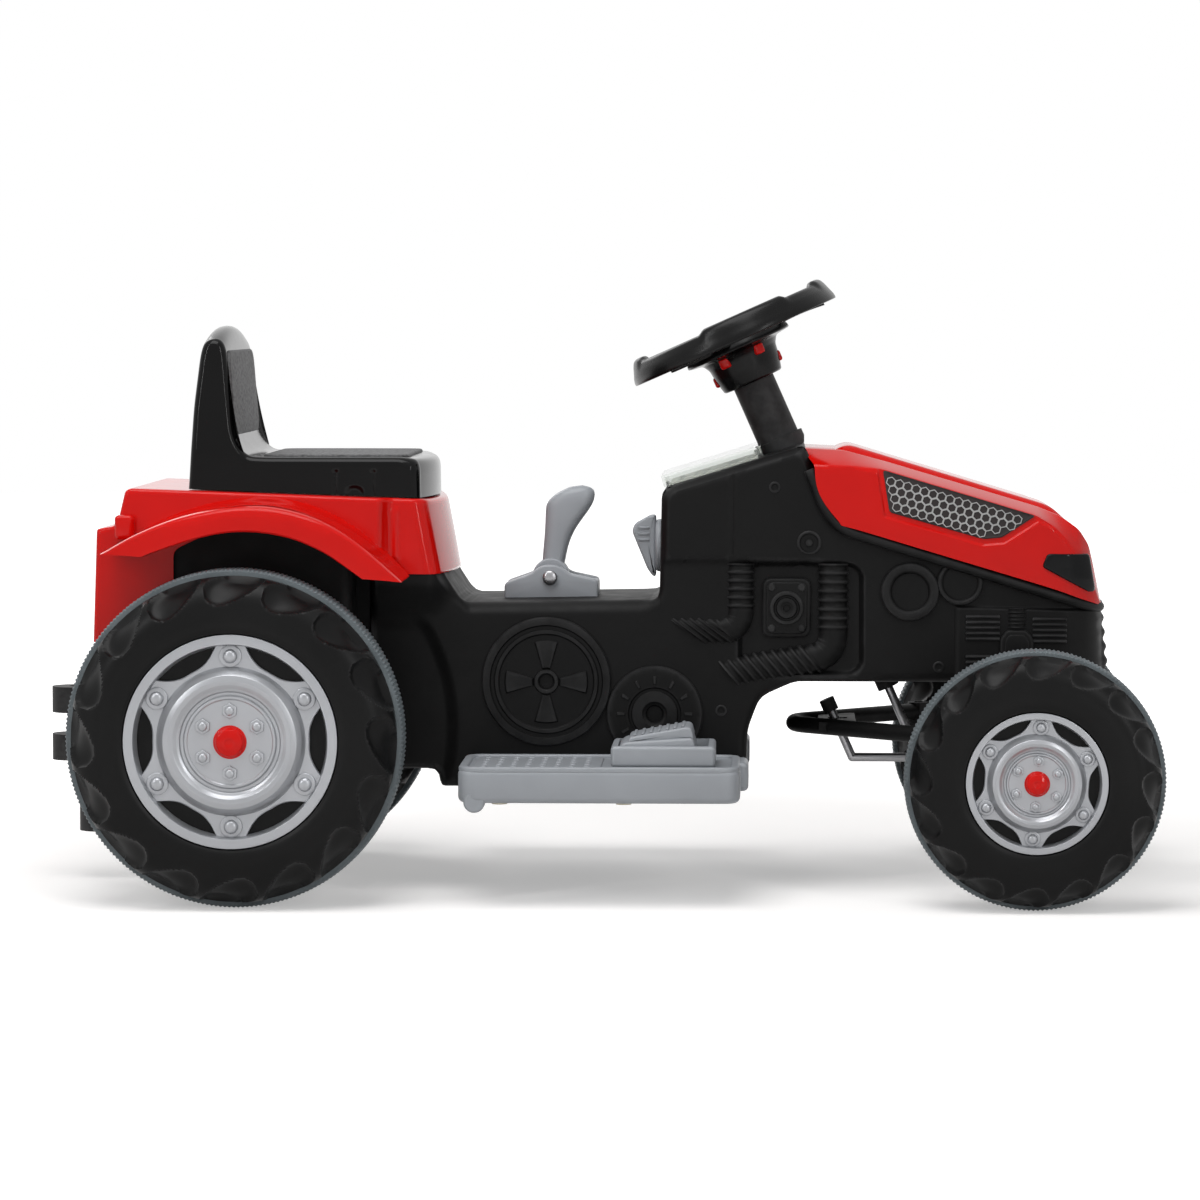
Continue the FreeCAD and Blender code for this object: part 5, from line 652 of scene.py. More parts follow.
CELL_PITCH = 7.9
GRILLE_OUT = HOOD_HALF + 0.5
GRILLE_AT = np.array([322, 350])
grille_ring = [(260, 384), (397, 343), (367, 323.5), (350, 322), (266, 346)]
row_slope = math.atan2(-41, 137)
cell_rows, cell_columns = np.meshgrid(np.arange(-8, 9), np.arange(-14, 15), indexing="ij")
cell_u = ((cell_columns + 0.5 * (cell_rows % 2)) * CELL_PITCH).ravel()
cell_v = (cell_rows * CELL_PITCH * 0.866).ravel()
cell_x = GRILLE_AT[0] + cell_u * math.cos(row_slope) - cell_v * math.sin(row_slope)
cell_z = GRILLE_AT[1] + cell_u * math.sin(row_slope) + cell_v * math.cos(row_slope)
inside_rim = depth_in(cell_x, cell_z, grille_ring) > 3.6
six_corners = np.radians(np.arange(7) * 60 + 30) + row_slope
cell_rim = np.array([[4.62, -0.4], [4.62, 1.1], [3.72, 1.1], [3.72, -0.4], [4.62, -0.4]])
backing_line = soft_ring(grille_ring, 3)
backing_steps = [(0, -2.0), (1, -2.0), (1, 0.4), (0.975, 0.9), (0.93, 0), (0, 0)]
backing_sheets, net_sheets = [], []
for y_sign in (-1, 1):
    backing_sheets.append(np.stack([np.insert(GRILLE_AT + share * (backing_line - GRILLE_AT), 1,
                                              y_sign * (GRILLE_OUT + up), axis=1)
                                    for share, up in backing_steps]))
    net_sheets += [lathe(cell, cell_rim[:, :1], six_corners[None], y_sign * (GRILLE_OUT + cell_rim[:, 1:]))
                   for cell in zip(cell_x[inside_rim], cell_z[inside_rim])]
make_piece("grille_backing", backing_sheets, grille_dark, "chassis", "hood_grilles")
make_piece("grille_net", net_sheets, grille_grey, "chassis", "hood_grilles")


# Headlights: gloss black lenses that wrap round the nose, pressed into the hood's front corners.
# Their faces follow the hood's own skin and stand a little proud of it.
lamp_black = moulded("lamp_black", (0.004, 0.0042, 0.0048), 0.1, 300.0, 0.000004, 0.1, 0.13)
LAMP_AT = np.array([428, 296])
lamp_line = soft_ring([(407.5, 309), (446, 308.5), (452, 275), (446, 274), (403, 297)], 3)
lamp_line = even_steps(lamp_line, 121)
lamp_steps = [(0, -11.0), (0.999, -11.0), (1, 0.4), (0.985, 1.3), (0.95, 1.9), (0.9, 2.1)]
lamp_steps += [(share, 2.1) for share in np.linspace(0.8, 0, 9)]
lamp_sheets = []
for y_sign in (-1, 1):
    loops = []
    for share, up in lamp_steps:
        lens = LAMP_AT + share * (lamp_line - LAMP_AT)
        fall = nose_round(lens[:, 0]) + 3 * ease(lens[:, 0], 425, 452) * ease(lens[:, 1], 285, 312)
        loops.append(np.insert(lens, 1, y_sign * (HOOD_HALF + 2 - fall + up), axis=1))
    lamp_sheets.append(np.stack(loops))
make_piece("headlight_lenses", lamp_sheets, lamp_black, "chassis", "headlights")


# Rear cover: a red moulding over the body's rear block, with a flat deck, a stepped tail and rounded
# front corners. The deck is open under the seat, where the battery sits.
COVER_HALF, STEP_IN = 130, 13
FRONT_EDGE = [(-150, 357.5), (-137.2, 290.4)]
cover_top = soft_line([(-450, 229), (-446.5, 329), (-446, 331), (-428, 334), (-420, 367.5), *FRONT_EDGE], 6,
                      steps=7)
cover_low = soft_line([(-446, 229), (-420, 229), (-377, 229), (-377, 312), (-345, 327), (-302, 333),
                       (-260, 328), (-222, 312), (-192, 292), (-175, 290), (-141.5, 290)], 7)
cover_top, cover_low = (even_steps(line, 240) for line in (cover_top, cover_low))
cover_grid = edge_grid(cover_low, cover_top, 44, 16, 9)
cover_x, cover_z = cover_grid[..., 0], cover_grid[..., 1]
front_round = round_edge(away(cover_x, cover_z, FRONT_EDGE) + 0.4, 16)
top_round = round_edge(away(cover_x, cover_z, cover_top[cover_top[:, 0] < -152]), 4)
ridge = 1.8 * bump(cover_x, -178, 2.5) * ease(cover_z, 300, 306) * (1 - ease(cover_z, 346, 352))
cover_half = COVER_HALF - STEP_IN * ease(cover_x, -194, -180) - front_round - top_round + ridge
cover_right, cover_left = both_sides(cover_x, cover_z, cover_half)
deck_stops = np.array([0, 0.05, 0.12, 0.242, 0.37, 0.5, 0.63, 0.758, 0.88, 0.95, 1])
deck = ruled(cover_right[:, -1], cover_left[:, -1], deck_stops)
deck[..., 0] += 10 * ease(cover_top[:, :1], -156, -149) * (1 - (2 * deck_stops - 1) ** 2)
deck_x = (deck[:-1, 0, 0] + deck[1:, 0, 0]) / 2
in_hole = np.outer((deck_x > -307) & (deck_x < -168), (deck_stops[:-1] > 0.2) & (deck_stops[1:] < 0.8))
cover = make_piece("cover_shell", [cover_right, cover_left, (deck, ~in_hole)], cover_red,
                   "chassis", "rear_cover", crease=78)
wall = cover.modifiers.new("wall", "SOLIDIFY")
wall.thickness = 2.5 * MM
wall.offset = -1


def side_box(y_sign, x, y, z, radius):
    """Rounded box on one side of the tractor, given by what it spans along each axis."""
    near, far = sorted(y_sign * place for place in y)
    return rounded_box((x[0], near, z[0]), (x[1], far, z[1]), radius)


upper_arc = soft_line([(-431, 313), (-400, 331), (-362, 346), (-318, 355), (-282, 355.5), (-245, 347),
                       (-212, 330), (-186, 308), (-165, 289)], 24)
lower_arc = soft_line([(-395, 310), (-362, 322), (-326, 331.5), (-296, 333), (-262, 327.5), (-232, 314),
                       (-214, 301), (-199.5, 291)], 20)
upper_arc, lower_arc = (even_steps(arc, 90) for arc in (upper_arc, lower_arc))
middle_arc = 0.5 * (upper_arc + lower_arc)
taper = np.sin(np.linspace(0, math.pi, 90)) ** 0.6
thin = 0.15 + 0.85 * taper
fender_ring = [(upper_arc, 122, 6.5 * taper), (upper_arc, 130, 4.5 * taper), (upper_arc, 138, 2.5 * taper),
               (upper_arc, 149, 0.8 * taper), (upper_arc, 166, 0), (upper_arc, 205, 0),
               (upper_arc, 210, -0.6 * thin), (upper_arc, 213, -2.2 * thin), (upper_arc, 214.6, -5 * thin),
               (middle_arc, 215, 0), (lower_arc, 215, 1.5 * thin), (lower_arc, 213.5, 0),
               (lower_arc, 211.5, 0.6 * thin), (middle_arc, 211, 0), (upper_arc, 209, -6 * thin),
               (upper_arc, 200, -4 * thin), (upper_arc, 122, -4 * thin), (upper_arc, 122, 6.5 * taper)]
fender_sheets = []
for y_sign in (-1, 1):
    fender_sheets += capped(np.stack([np.stack([arc[:, 0], np.full(90, y_sign * y), arc[:, 1] + up], -1)
                                      for arc, y, up in fender_ring], 1))
    fender_sheets += side_box(y_sign, (-428, -411), (128, 146), (322, 344), 4)
make_piece("fenders", fender_sheets, cover_red, "chassis", "rear_cover", crease=34)


# Seat shell: a gloss black moulding with a low backrest and large round corners, which snaps onto the
# deck and lifts off it. A pair of grooves on each side marks its snap tab.
seat_black = moulded("seat_black", (0.0030, 0.0030, 0.0031), 0.13, 240.0, 0.000005, 0.15, 0.14, wear_and_sheen_gain=1.6)
SEAT_HALF = 113
FRONT_BOW = 10
seat_top = soft_line([(-365.5, 366.5), (-361, 440), (-355, 490), (-350.5, 501), (-338, 502.5), (-332, 494),
                      (-326.5, 436), (-324, 413), (-314, 396), (-296, 395), (-168, 395), (-156.5, 392),
                      (-156, 358.6)], 11, steps=8)
seat_top = even_steps(seat_top, 260)
foot_x = 0.35 * np.linspace(-365.5, -156, 260) + 0.65 * seat_top[:, 0]
seat_foot = np.stack([foot_x, 368.3 - 0.037 * (foot_x + 420)], -1)
seat_grid = edge_grid(seat_foot, seat_top, 34, 8, 8)
seat_x, seat_z = seat_grid[..., 0], seat_grid[..., 1]
seat_round = round_edge(away(seat_x, seat_z, seat_top), 7 + 5 * ease(seat_x, -176, -160))
grooves = 1.4 * (bump(seat_x, -232, 1.3) + bump(seat_x, -198, 1.3)) * (1 - ease(seat_z, 381, 385))
dimple = 0.9 * (1 - ease(np.hypot(seat_x + 215, (seat_z - 362) * 1.1), 6, 9))
seat_half = SEAT_HALF - seat_round - grooves - dimple - 0.1 * np.maximum(seat_z - 400, 0)
seat_right, seat_left = both_sides(seat_x, seat_z, seat_half)
seat_stops = 0.5 - 0.5 * np.cos(np.linspace(0, math.pi, 17))
bow = 1 - (2 * seat_stops - 1) ** 2
seat_sheets = [seat_right, seat_left] + [ruled(seat_right[k], seat_left[k], seat_stops) for k in (0, -1)]
seat_sheets[-1][..., 0] += FRONT_BOW * bow
for k in (0, -1):
    skin = ruled(seat_right[:, k], seat_left[:, k], seat_stops)
    skin[..., 0] += FRONT_BOW * ease(seat_right[:, k, :1], -170, -157) * bow
    skin[..., 2] += 11 * ease(seat_right[:, k, 2:], 470, 502) * bow
    seat_sheets.append(skin)
make_piece("seat_moulding", seat_sheets, seat_black, "seat", "seat_shell")


# Seat pads: two inserts of soft dark grey plastic with a leathery grain, welded into shallow beds in the
# seat's top and in the front of its backrest.
def grained(name, colour, roughness):
    """Leather-grained soft plastic: small swollen cells with narrow creases, with painted shade in the
    creases and lighter cell tops.
    """
    made, start = blank(bpy.data.materials, name)
    place = start.node("TexCoord", output="Object")
    cells = start.node("TexVoronoi", {"feature": "SMOOTH_F1"},
                       {"Vector": place, "Scale": 330.0, "Smoothness": 0.3})
    height = (1 - cells) * 0.8 + place.noise(130.0, 4.0) * 0.6
    # Painted shade: the base colour darkens down into the grain's creases, with a little random tone.
    crease_shade_and_mottle = height.between(0.35, 0.95) * 0.8 + place.noise(12.0).between(0.3, 0.7) * 0.2
    tone = crease_shade_and_mottle.tint(*([c * share for c in colour] for share in (0.55, 1.3)))
    skin = start.node("Bump", None, {"Height": height, "Distance": 0.0007, "Strength": 1.0})
    start.node("BsdfPrincipled", None,
               {"Base Color": tone, "Roughness": roughness + 0.15 * cells.between(0.2, 0.8), "Normal": skin,
                "Specular IOR Level": 0.35}).end()
    return made


pad_grey = grained("pad_grey", (0.085, 0.085, 0.087), 0.55)
PAD_ACROSS, PAD_CORNER, PAD_THICK = 98, 16, 2.0
ACROSS = np.array([0.0, 1, 0])


def pad_sheets(centre, lengthwise, upward, half_length, crown):
    """Cushion-like plate: a square grid pressed to a rounded rectangle, its top crowned by a flat dome
    that falls away in a quarter circle at the rim, and a flat underside."""
    s = np.sin(np.linspace(-math.pi / 2, math.pi / 2, 61))
    half = np.array([half_length, PAD_ACROSS])
    point = np.stack(np.meshgrid(s * half[0], s * half[1], indexing="ij"), -1)
    core = np.clip(point, -half + PAD_CORNER, half - PAD_CORNER)
    off = point - core
    long = np.linalg.norm(off, axis=-1)
    pull = np.where(long > 1e-9, np.abs(off).max(-1) / np.maximum(long, 1e-9), 1)
    point = core + off * pull[..., None]
    gap = -box_gap(point[..., 0], point[..., 1], (0, 0), half, PAD_CORNER)
    dome = crown * np.prod(1 - (point / half) ** 2, -1)
    lift = PAD_THICK - round_edge(gap, PAD_THICK) + dome
    flat = np.asarray(centre, float) + point[..., :1] * lengthwise + point[..., 1:] * ACROSS
    top = flat + lift[..., None] * upward
    under = flat - 2.0 * upward
    rims = [np.stack([top[k], under[k]]) for k in (0, -1)]
    rims += [np.stack([top[:, k], under[:, k]]) for k in (0, -1)]
    return [top, under] + rims


make_piece("seat_insert", pad_sheets((-234, 0, 395), np.array([1.0, 0, 0]), np.array([0, 0, 1.0]), 66, 1.6),
           pad_grey, "seat", "seat_pad")
lean = unit(np.array([-6.2, 0, 81.0]))
make_piece("backrest_insert", pad_sheets((-328.2, 0, 452), lean, np.cross(ACROSS, lean), 39, 1.5),
           pad_grey, "seat", "backrest_pad")


# Wheels: a black blow-moulded tyre with sixteen scoops in each shoulder, a ribbed grey rubber band round
# its middle, a silver star-shaped disc clipped into the recess, and a red cap over the axle's end.
# The tyre's convex edges get a lighter colour: partly wear, partly a painted highlight.
tyre_black = moulded("tyre_black", (0.0048, 0.0048, 0.0049), 0.36, 520.0, 0.00004, 0.2, 0.12, wear_and_sheen_gain=6)
tread_grey = moulded("tread_grey", (0.115, 0.135, 0.145), 0.6, 700.0, 0.00006, 0.15, 0.3, wear_and_sheen_gain=1.25)
silver = moulded("silver", (0.36, 0.37, 0.39), 0.3, 600.0, 0.000002, 0.04, 0.5, coat=0.1, wear_and_sheen_gain=1.12,
                 metallic=0.5, smudge=0.08)
WHEEL_OUT = 200
SCOOPS = 16
HUB_FACE, WEB_FACE = 0.86, 0.36


def wheel_points(radius, angle, out, wheel):
    """Points given by radius, angle and distance out of the wheel's middle plane."""
    return lathe((wheel["x"], wheel["z"]), radius, angle, wheel["side"] * (WHEEL_OUT + out))


def tyre_sheets(wheel):
    """Ring profile turned about the axle; on both shoulders the skin is pressed in by sixteen hollows,
    each an ellipse in angle and slant that trails to one side."""
    half, tread, wall_r, rim, floor_at, depth, band = (wheel[name] for name in (
        "half", "tread", "wall", "rim", "floor", "shoulder", "band"))
    bend = np.linspace(0, math.pi / 2, 25)
    shoulder = np.stack([wall_r + (tread - wall_r) * np.sin(bend), half - depth + depth * np.cos(bend),
                         bend], -1)
    bulge = np.linspace(0.2, 0.9, 4)
    cheek = np.stack([rim + (wall_r - rim) * bulge, half + 1.4 * np.sin(math.pi * bulge), np.full(4, -1)], -1)
    near = np.concatenate([[(8, floor_at, -1), (rim + 0.6, floor_at, -1), (rim + 0.6, half - 2.5, -1),
                            (rim + 1.4, half - 0.8, -1), (rim + 3, half, -1)], cheek, shoulder])
    crown = [(tread, band + 1.5, -1), (tread, -band - 1.5, -1)]
    far_side = np.concatenate([shoulder[::-1], [(rim, half, -1), (8, half, -1)]]) * (1, -1, 1)
    r, out, slant = np.concatenate([near, crown, far_side, near[:1]]).T[..., None]
    angle = np.linspace(0, FULL_TURN, SCOOPS * 36 + 1)[None]
    pitch = FULL_TURN / SCOOPS
    lean_by = 0.10 * np.sign(out) * (slant - 0.85)
    offset = (angle + wheel["turn"] + lean_by + pitch / 2) % pitch - pitch / 2
    hollow = 1 - (offset / (0.43 * pitch)) ** 2 - ((slant - 1.0) / 0.84) ** 2
    press = np.where(slant >= 0, wheel["scoop"] * np.clip(hollow, 0, 1) ** 0.42, 0)
    slant = np.maximum(slant, 0)
    return [wheel_points(r - press * np.sin(slant), angle, out - np.sign(out) * press * np.cos(slant), wheel)]


def band_sheets(wheel):
    """Low ring round the tread whose outer face is cut into fine slanted ribs."""
    half, low, high, count = (wheel[name] for name in ("band", "tread", "radius", "ribs"))
    angle = np.linspace(0, FULL_TURN, count * 6 + 1)[None]
    profile = np.array([(low - 0.5, -half, 0), (high - 1.8, -half, 0.6), (high - 0.6, -half + 1, 1),
                        (high, -half + 3.5, 1), (high, -half / 3, 0.8), (high, half / 3, 0.8),
                        (high, half - 3.5, 1), (high - 0.6, half - 1, 1), (high - 1.8, half, 0.6),
                        (low - 0.5, half, 0), (low - 0.5, -half, 0)])
    r, out, share = profile.T[..., None]
    wave = 0.5 - 0.5 * np.cos(count * angle + 2.2 * np.abs(out) / half)
    return [wheel_points(r - 1.1 * share * wave, angle, out, wheel)]


def stud_sheet(wheel, bearing, middle_r, foot, radius, height, sides, power):
    """Rounded stud on the disc's face: a superellipse profile turned about its own axis. Its foot and its
    height are shares of the disc's depth."""
    deep = wheel["deep"]
    u = np.linspace(0, math.pi / 2, 7)
    size = np.r_[0, 1, np.cos(u[:-1]) ** (2 / power), 0][:, None]
    up = wheel["floor"] + deep * foot + np.r_[-2, -2, np.sin(u) ** (2 / power) * deep * height][:, None]
    spin = np.linspace(0, FULL_TURN, sides + 1) + math.pi / 6
    middle = (wheel["x"] + middle_r * math.cos(bearing), wheel["z"] + middle_r * math.sin(bearing))
    return lathe(middle, radius * size, spin[None], wheel["side"] * (WHEEL_OUT + up))


def disc_sheets(wheel):
    """Rim ring, then a star whose outer edge swings in between its six ears, so that the dark tyre shows
    in the gaps; then the ear bolts and the six nuts of the hub."""
    rim, floor_at, deep, nut = (wheel[name] for name in ("rim", "floor", "deep", "nut"))
    angle = np.linspace(0, FULL_TURN, 361)[None]
    ring = soft_ring([(1.0, 0.02), (1.0, 0.95), (0.912, 0.97), (0.897, 0.42), (0.885, 0.02)], 0.02)
    sheets = [wheel_points(rim * ring[:, :1], angle, floor_at + deep * ring[:, 1:], wheel)]
    off_gap = np.abs((np.degrees(angle) - wheel["ears"] + 60) % 60 - 30)
    edge = rim * (0.725 + 0.18 * np.clip(off_gap / 21.5, 0, 1) ** 3)
    web = 0.70 * rim + np.linspace(0, 1, 6)[1:, None] * (edge - 0.70 * rim)
    dome = soft_line([(0.0, 0.86), (0.15, 0.86), (0.395, 0.86), (0.405, 0.94), (0.425, 0.94), (0.44, 0.78),
                      (0.465, 0.78), (0.475, 0.92), (0.50, 1.0), (0.535, 1.17), (0.575, 1.22), (0.625, 1.1),
                      (0.67, 0.72), (0.70, WEB_FACE)], 0.016, steps=5)
    dome_r = np.broadcast_to(rim * dome[:, :1], (len(dome), angle.size))
    star_r = np.concatenate([dome_r, web, edge + 0.01 * rim, edge + 0.01 * rim, 0 * edge])
    star_up = np.r_[dome[:, 1], np.full(len(web), WEB_FACE), 0.30, 0.03, 0.03][:, None]
    sheets.append(wheel_points(star_r, angle, floor_at + deep * star_up, wheel))
    studs = [(wheel["ear_r"], WEB_FACE, wheel["ear_pad"], 0.16, 20, 8),
             (wheel["ear_r"], WEB_FACE + 0.14, wheel["ear_bolt"], 0.34, 18, 2.4),
             (wheel["nut_r"], HUB_FACE, nut, 0.22, 6, 9),
             (wheel["nut_r"], HUB_FACE + 0.18, 0.62 * nut, 0.2, 14, 2.2)]
    for ear in np.radians(wheel["ears"] + 60 * np.arange(6)):
        sheets += [stud_sheet(wheel, ear, *stud) for stud in studs]
    return sheets


def cap_sheets(wheel):
    """Domed cap with a collar at its foot and a small dimple in its crown."""
    face, height = wheel["floor"] + HUB_FACE * wheel["deep"], wheel["cap_up"]
    profile = soft_line([(0, -1.5), (1.12, -1.5), (1.12, 0.8), (1.0, 1.2), (0.99, 0.42 * height),
                         (0.86, 0.82 * height), (0.5, 0.97 * height), (0.3, height), (0.22, 0.95 * height),
                         (0, 0.93 * height)], 0.3)
    angle = np.linspace(0, FULL_TURN, 49)[None]
    return [wheel_points(wheel["cap"] * profile[:, :1], angle, face + profile[:, 1:], wheel)]


wheel_sizes = {
    "x": (-313, 392), "z": (150, 115), "half": (50, 42), "tread": (144.2, 110.2), "wall": (116, 88),
    "shoulder": (25, 20), "scoop": (8.5, 6.5), "rim": (94, 62), "floor": (36.4, 30.4), "deep": (14, 12),
    "band": (18, 15), "radius": (150, 115), "ribs": (236, 180), "ears": (90, 86), "ear_r": (75, 49),
    "ear_pad": (10, 7), "ear_bolt": (6.4, 4.6), "nut_r": (27.5, 20), "nut": (7.0, 5.0), "cap": (13.2, 10),
    "cap_up": (9.2, 7.6), "turn": (0.0, 0.07)}
for column, kind in enumerate(("rear", "front")):
    for hand, y_sign in (("right", -1), ("left", 1)):
        wheel = {"side": y_sign, **{name: pair[column] for name, pair in wheel_sizes.items()}}
        for part, shape, finish, slot in (("tyre", tyre_sheets, tyre_black, "tyre_black"),
                                          ("tread_band", band_sheets, tread_grey, "tread_grey"),
                                          ("disc", disc_sheets, silver, "silver"),
                                          ("hub_cap", cap_sheets, cover_red, "cover_red")):
            make_piece(f"{kind}_{part}_{hand}_skin", shape(wheel), finish, f"{kind}_{hand}_wheel",
                       f"{kind}_{part}_{hand}")


# Footrests: hollow silver-grey steps on both sides of the belly, each a tray with a lower wall, an inset
# upper step and a panel of grip studs, held by two screws from below.
footrest_grey = moulded("footrest_grey", (0.30, 0.318, 0.342), 0.4, 900.0, 0.00002, 0.06, 0.42, wear_and_sheen_gain=1.15)
TRAY_TOP = 123.6
tray_plates = rounded_plate(box_line((-116, 95), (133, 222), 17), 94, TRAY_TOP, 5)
rim_line = box_line((-111.5, 99.5), (128.5, 217.5), 14)
along_rim = np.roll(rim_line, -1, 0) - np.roll(rim_line, 1, 0)
across_rim = shut(unit(np.stack([along_rim[:, 1], -along_rim[:, 0], 0 * along_rim[:, 0]], -1)))
rim_path = shut(np.insert(rim_line, 2, TRAY_TOP - 0.2, axis=1))
bead = shut(box_line((-4, -3), (4, 2.8), 2.4)[::-1])
bead_sheet = swept(rim_path, across_rim, np.broadcast_to([0.0, 0, 1], rim_path.shape), bead)
u = np.linspace(0, math.pi / 2, 5)[:, None]
spin = np.linspace(0, FULL_TURN, 11)[None]
stud = np.stack(np.broadcast_arrays(3.2 * np.cos(u) * np.cos(spin), 3.2 * np.cos(u) * np.sin(spin),
                                    1.3 * np.sin(u)), -1)
lug_y = np.array([206, 206, 208, 220, 221.5, 221.5])[:, None]
lug_r = np.array([0, 8, 9.5, 9.5, 8, 0])[:, None]
for hand, y_sign in (("right", -1), ("left", 1)):
    tray_sheets = [sheet[..., [0, 2, 1]] * (1, y_sign, 1) for sheet in tray_plates]
    tray_sheets.append(bead_sheet * (1, y_sign, 1))
    tray_sheets += side_box(y_sign, (-103, 10), (113, 205), (120, 124.8), 1)
    for column in range(8):
        for row in range(5):
            stud_at = np.array([-94 + 13 * column, y_sign * (119 + 20.5 * row), 124.6])
            tray_sheets += [stud + stud_at, np.stack([stud[0] + stud_at, np.repeat(stud_at[None], 11, 0)])]
    tray_sheets.append(lathe((-101, 95), lug_r, np.linspace(0, FULL_TURN, 29)[None], y_sign * lug_y))
    tray_sheets += side_box(y_sign, (120, 140), (95, 150), (98, 124), 5)
    make_piece(f"footrest_{hand}_tray", tray_sheets, footrest_grey, "chassis", f"footrest_{hand}")


# Accelerator: a wedge-shaped pedal with grip ridges on a hinge pin, in a low open housing that stands on
# the right footrest.
housing_sheets = rounded_box((19, -212, 125), (111, -130, 144), 3.5, ((25, 105), (-206.8, -135.2), 127))
make_piece("pedal_box", housing_sheets, footrest_grey, "chassis", "pedal_housing")
wedge_line = soft_line([(25.5, 135), (25.5, 142.5), (31, 147), (91, 151), (93.5, 144), (93.5, 136)], 3, True)
pedal_sheets = rounded_plate(wedge_line, -206.4, -135.6, 2.5)
cap_line = soft_line([(33, 145), (35, 151), (86, 160.4), (90, 159), (92.5, 149)], 2.6, True)
pedal_sheets += rounded_plate(cap_line, -201, -141, 2.2)
slope = unit(np.array([51, 9.4]))
for number in range(7):
    foot = np.array([40, 151.9]) + slope * 7.2 * number
    crest = foot + (-0.2, 1.3)
    bar = [foot - slope * 1.8, foot + slope * 1.8, crest + slope * 1.2, crest - slope * 1.2]
    pedal_sheets += rounded_plate(soft_line(bar, 0.8, True, 4), -197, -145, 0.8, 3)
make_piece("pedal_plate", pedal_sheets, footrest_grey, "pedal", "pedal_pad")


# Gear lever: a grey moulded handle with a flared grip, turning on a steel pin between the cheeks of a
# bracket that is screwed to the tunnel.
PIN_AT = (-43, 282)
HEAD_R, DRUM_R = 6.8, 17
bracket_line = soft_line([(-85, 261), (-85, 277), (-61, 285.5), (-54, 291), (-48, 293.5), (-38, 293.5),
                          (-32, 291), (-25, 285.5), (1, 280), (1, 261)], 4, closed=True)
bracket_sheets = rounded_plate(bracket_line, -27, -11.6, 2) + rounded_plate(bracket_line, 11.6, 27, 2)
bracket_sheets += rounded_box((-85, -20, 261), (-77.5, 20, 276.5), 2)
bracket_sheets += rounded_box((-6.5, -20, 261), (1, 20, 279.5), 2)
make_piece("lever_bracket", bracket_sheets, footrest_grey, "chassis", "gear_bracket")

steel = moulded("steel", (0.30, 0.30, 0.31), 0.3, 1600.0, 0.00001, 0.1, 0.5, metallic=0.9)
spin = np.linspace(0, FULL_TURN, 41)[None]
head = np.linspace(0, math.pi / 2, 8)
head_r = HEAD_R * np.r_[0, 1, np.cos(head)][:, None]
head_up = np.r_[-3, -3, 2.6 * np.sin(head)][:, None]
pin_ends = [corner.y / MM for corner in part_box("gear_pin")]
make_piece("gear_pin_heads", [lathe(PIN_AT, head_r, spin, end + math.copysign(1, end) * head_up)
                              for end in pin_ends], steel, "chassis")

grip_table = [[282, 292, 300, 309, 318, 327, 336, 344, 350, 355, 359, 362, 364.5],
              [-52, -51.5, -51, -50.2, -49.4, -48.8, -48.4, -48.2, -47.6, -45, -40.5, -34, -26],
              [-34, -31, -29.3, -27.5, -24.5, -20, -13.5, -7, -3.4, -2.6, -3.6, -7, -14],
              [10.9, 10.6, 10.2, 10.0, 10.2, 10.6, 11, 11, 10.9, 10.4, 9.4, 7.4, 4]]
levels, *sizes = along(np.array(grip_table).T, np.arange(13), np.linspace(0, 12, 49)).T
smooth = np.array([1, 2, 3, 2, 1]) / 9
rear_x, front_x, thick = (np.r_[v[:2], np.convolve(v, smooth, "valid"), v[-2:]][:, None] for v in sizes)
round_x, round_y = (np.sign(wave) * np.abs(wave) ** 0.8 for wave in (np.cos(spin), np.sin(spin)))
grip_x = (rear_x + front_x) / 2 + (front_x - rear_x) / 2 * round_x
tip = 0.22 * ease(levels, 330, 362)[:, None] * (grip_x + 25)
grip = np.stack([grip_x, thick * round_y, levels[:, None] + 0.6 * tip], -1)
drum_angle = np.linspace(0, FULL_TURN, 48, endpoint=False)
drum = np.array(PIN_AT) + DRUM_R * np.stack([np.cos(drum_angle), np.sin(drum_angle)], -1)
make_piece("lever_handle", capped(grip, 1) + rounded_plate(drum, -11, 11, 2), footrest_grey,
           "lever", "gear_lever")


# Steering wheel: a black moulding whose rim is an upturned channel with raised grips, carried by three
# flat spokes on a flared drum. The red horn button shows in its hub and in windows round the drum.
wheel_black = moulded("wheel_black", (0.0042, 0.0042, 0.0043), 0.26, 420.0, 0.00002, 0.18, 0.15, wear_and_sheen_gain=1.8)
LEAN = math.radians(24)
HUB_X, HUB_Z = 123.4, 506
spin = np.linspace(0, FULL_TURN, 241)[None]


def on_column(along_x, along_y, up, turn=0.0):
    """Points of the tilted steering frame, whose axis leans back by the column's angle, after a turn about
    that axis."""
    along_x, along_y, up = np.broadcast_arrays(along_x, along_y, up)
    ahead = along_x * math.cos(turn) - along_y * math.sin(turn)
    aside = along_x * math.sin(turn) + along_y * math.cos(turn)
    return np.stack([HUB_X + ahead * math.cos(LEAN) - up * math.sin(LEAN), aside,
                     HUB_Z + ahead * math.sin(LEAN) + up * math.cos(LEAN)], -1)


def round_column(radius, up):
    """A profile of radius and height turned about the steering axis."""
    return on_column(radius * np.cos(spin), radius * np.sin(spin), up)


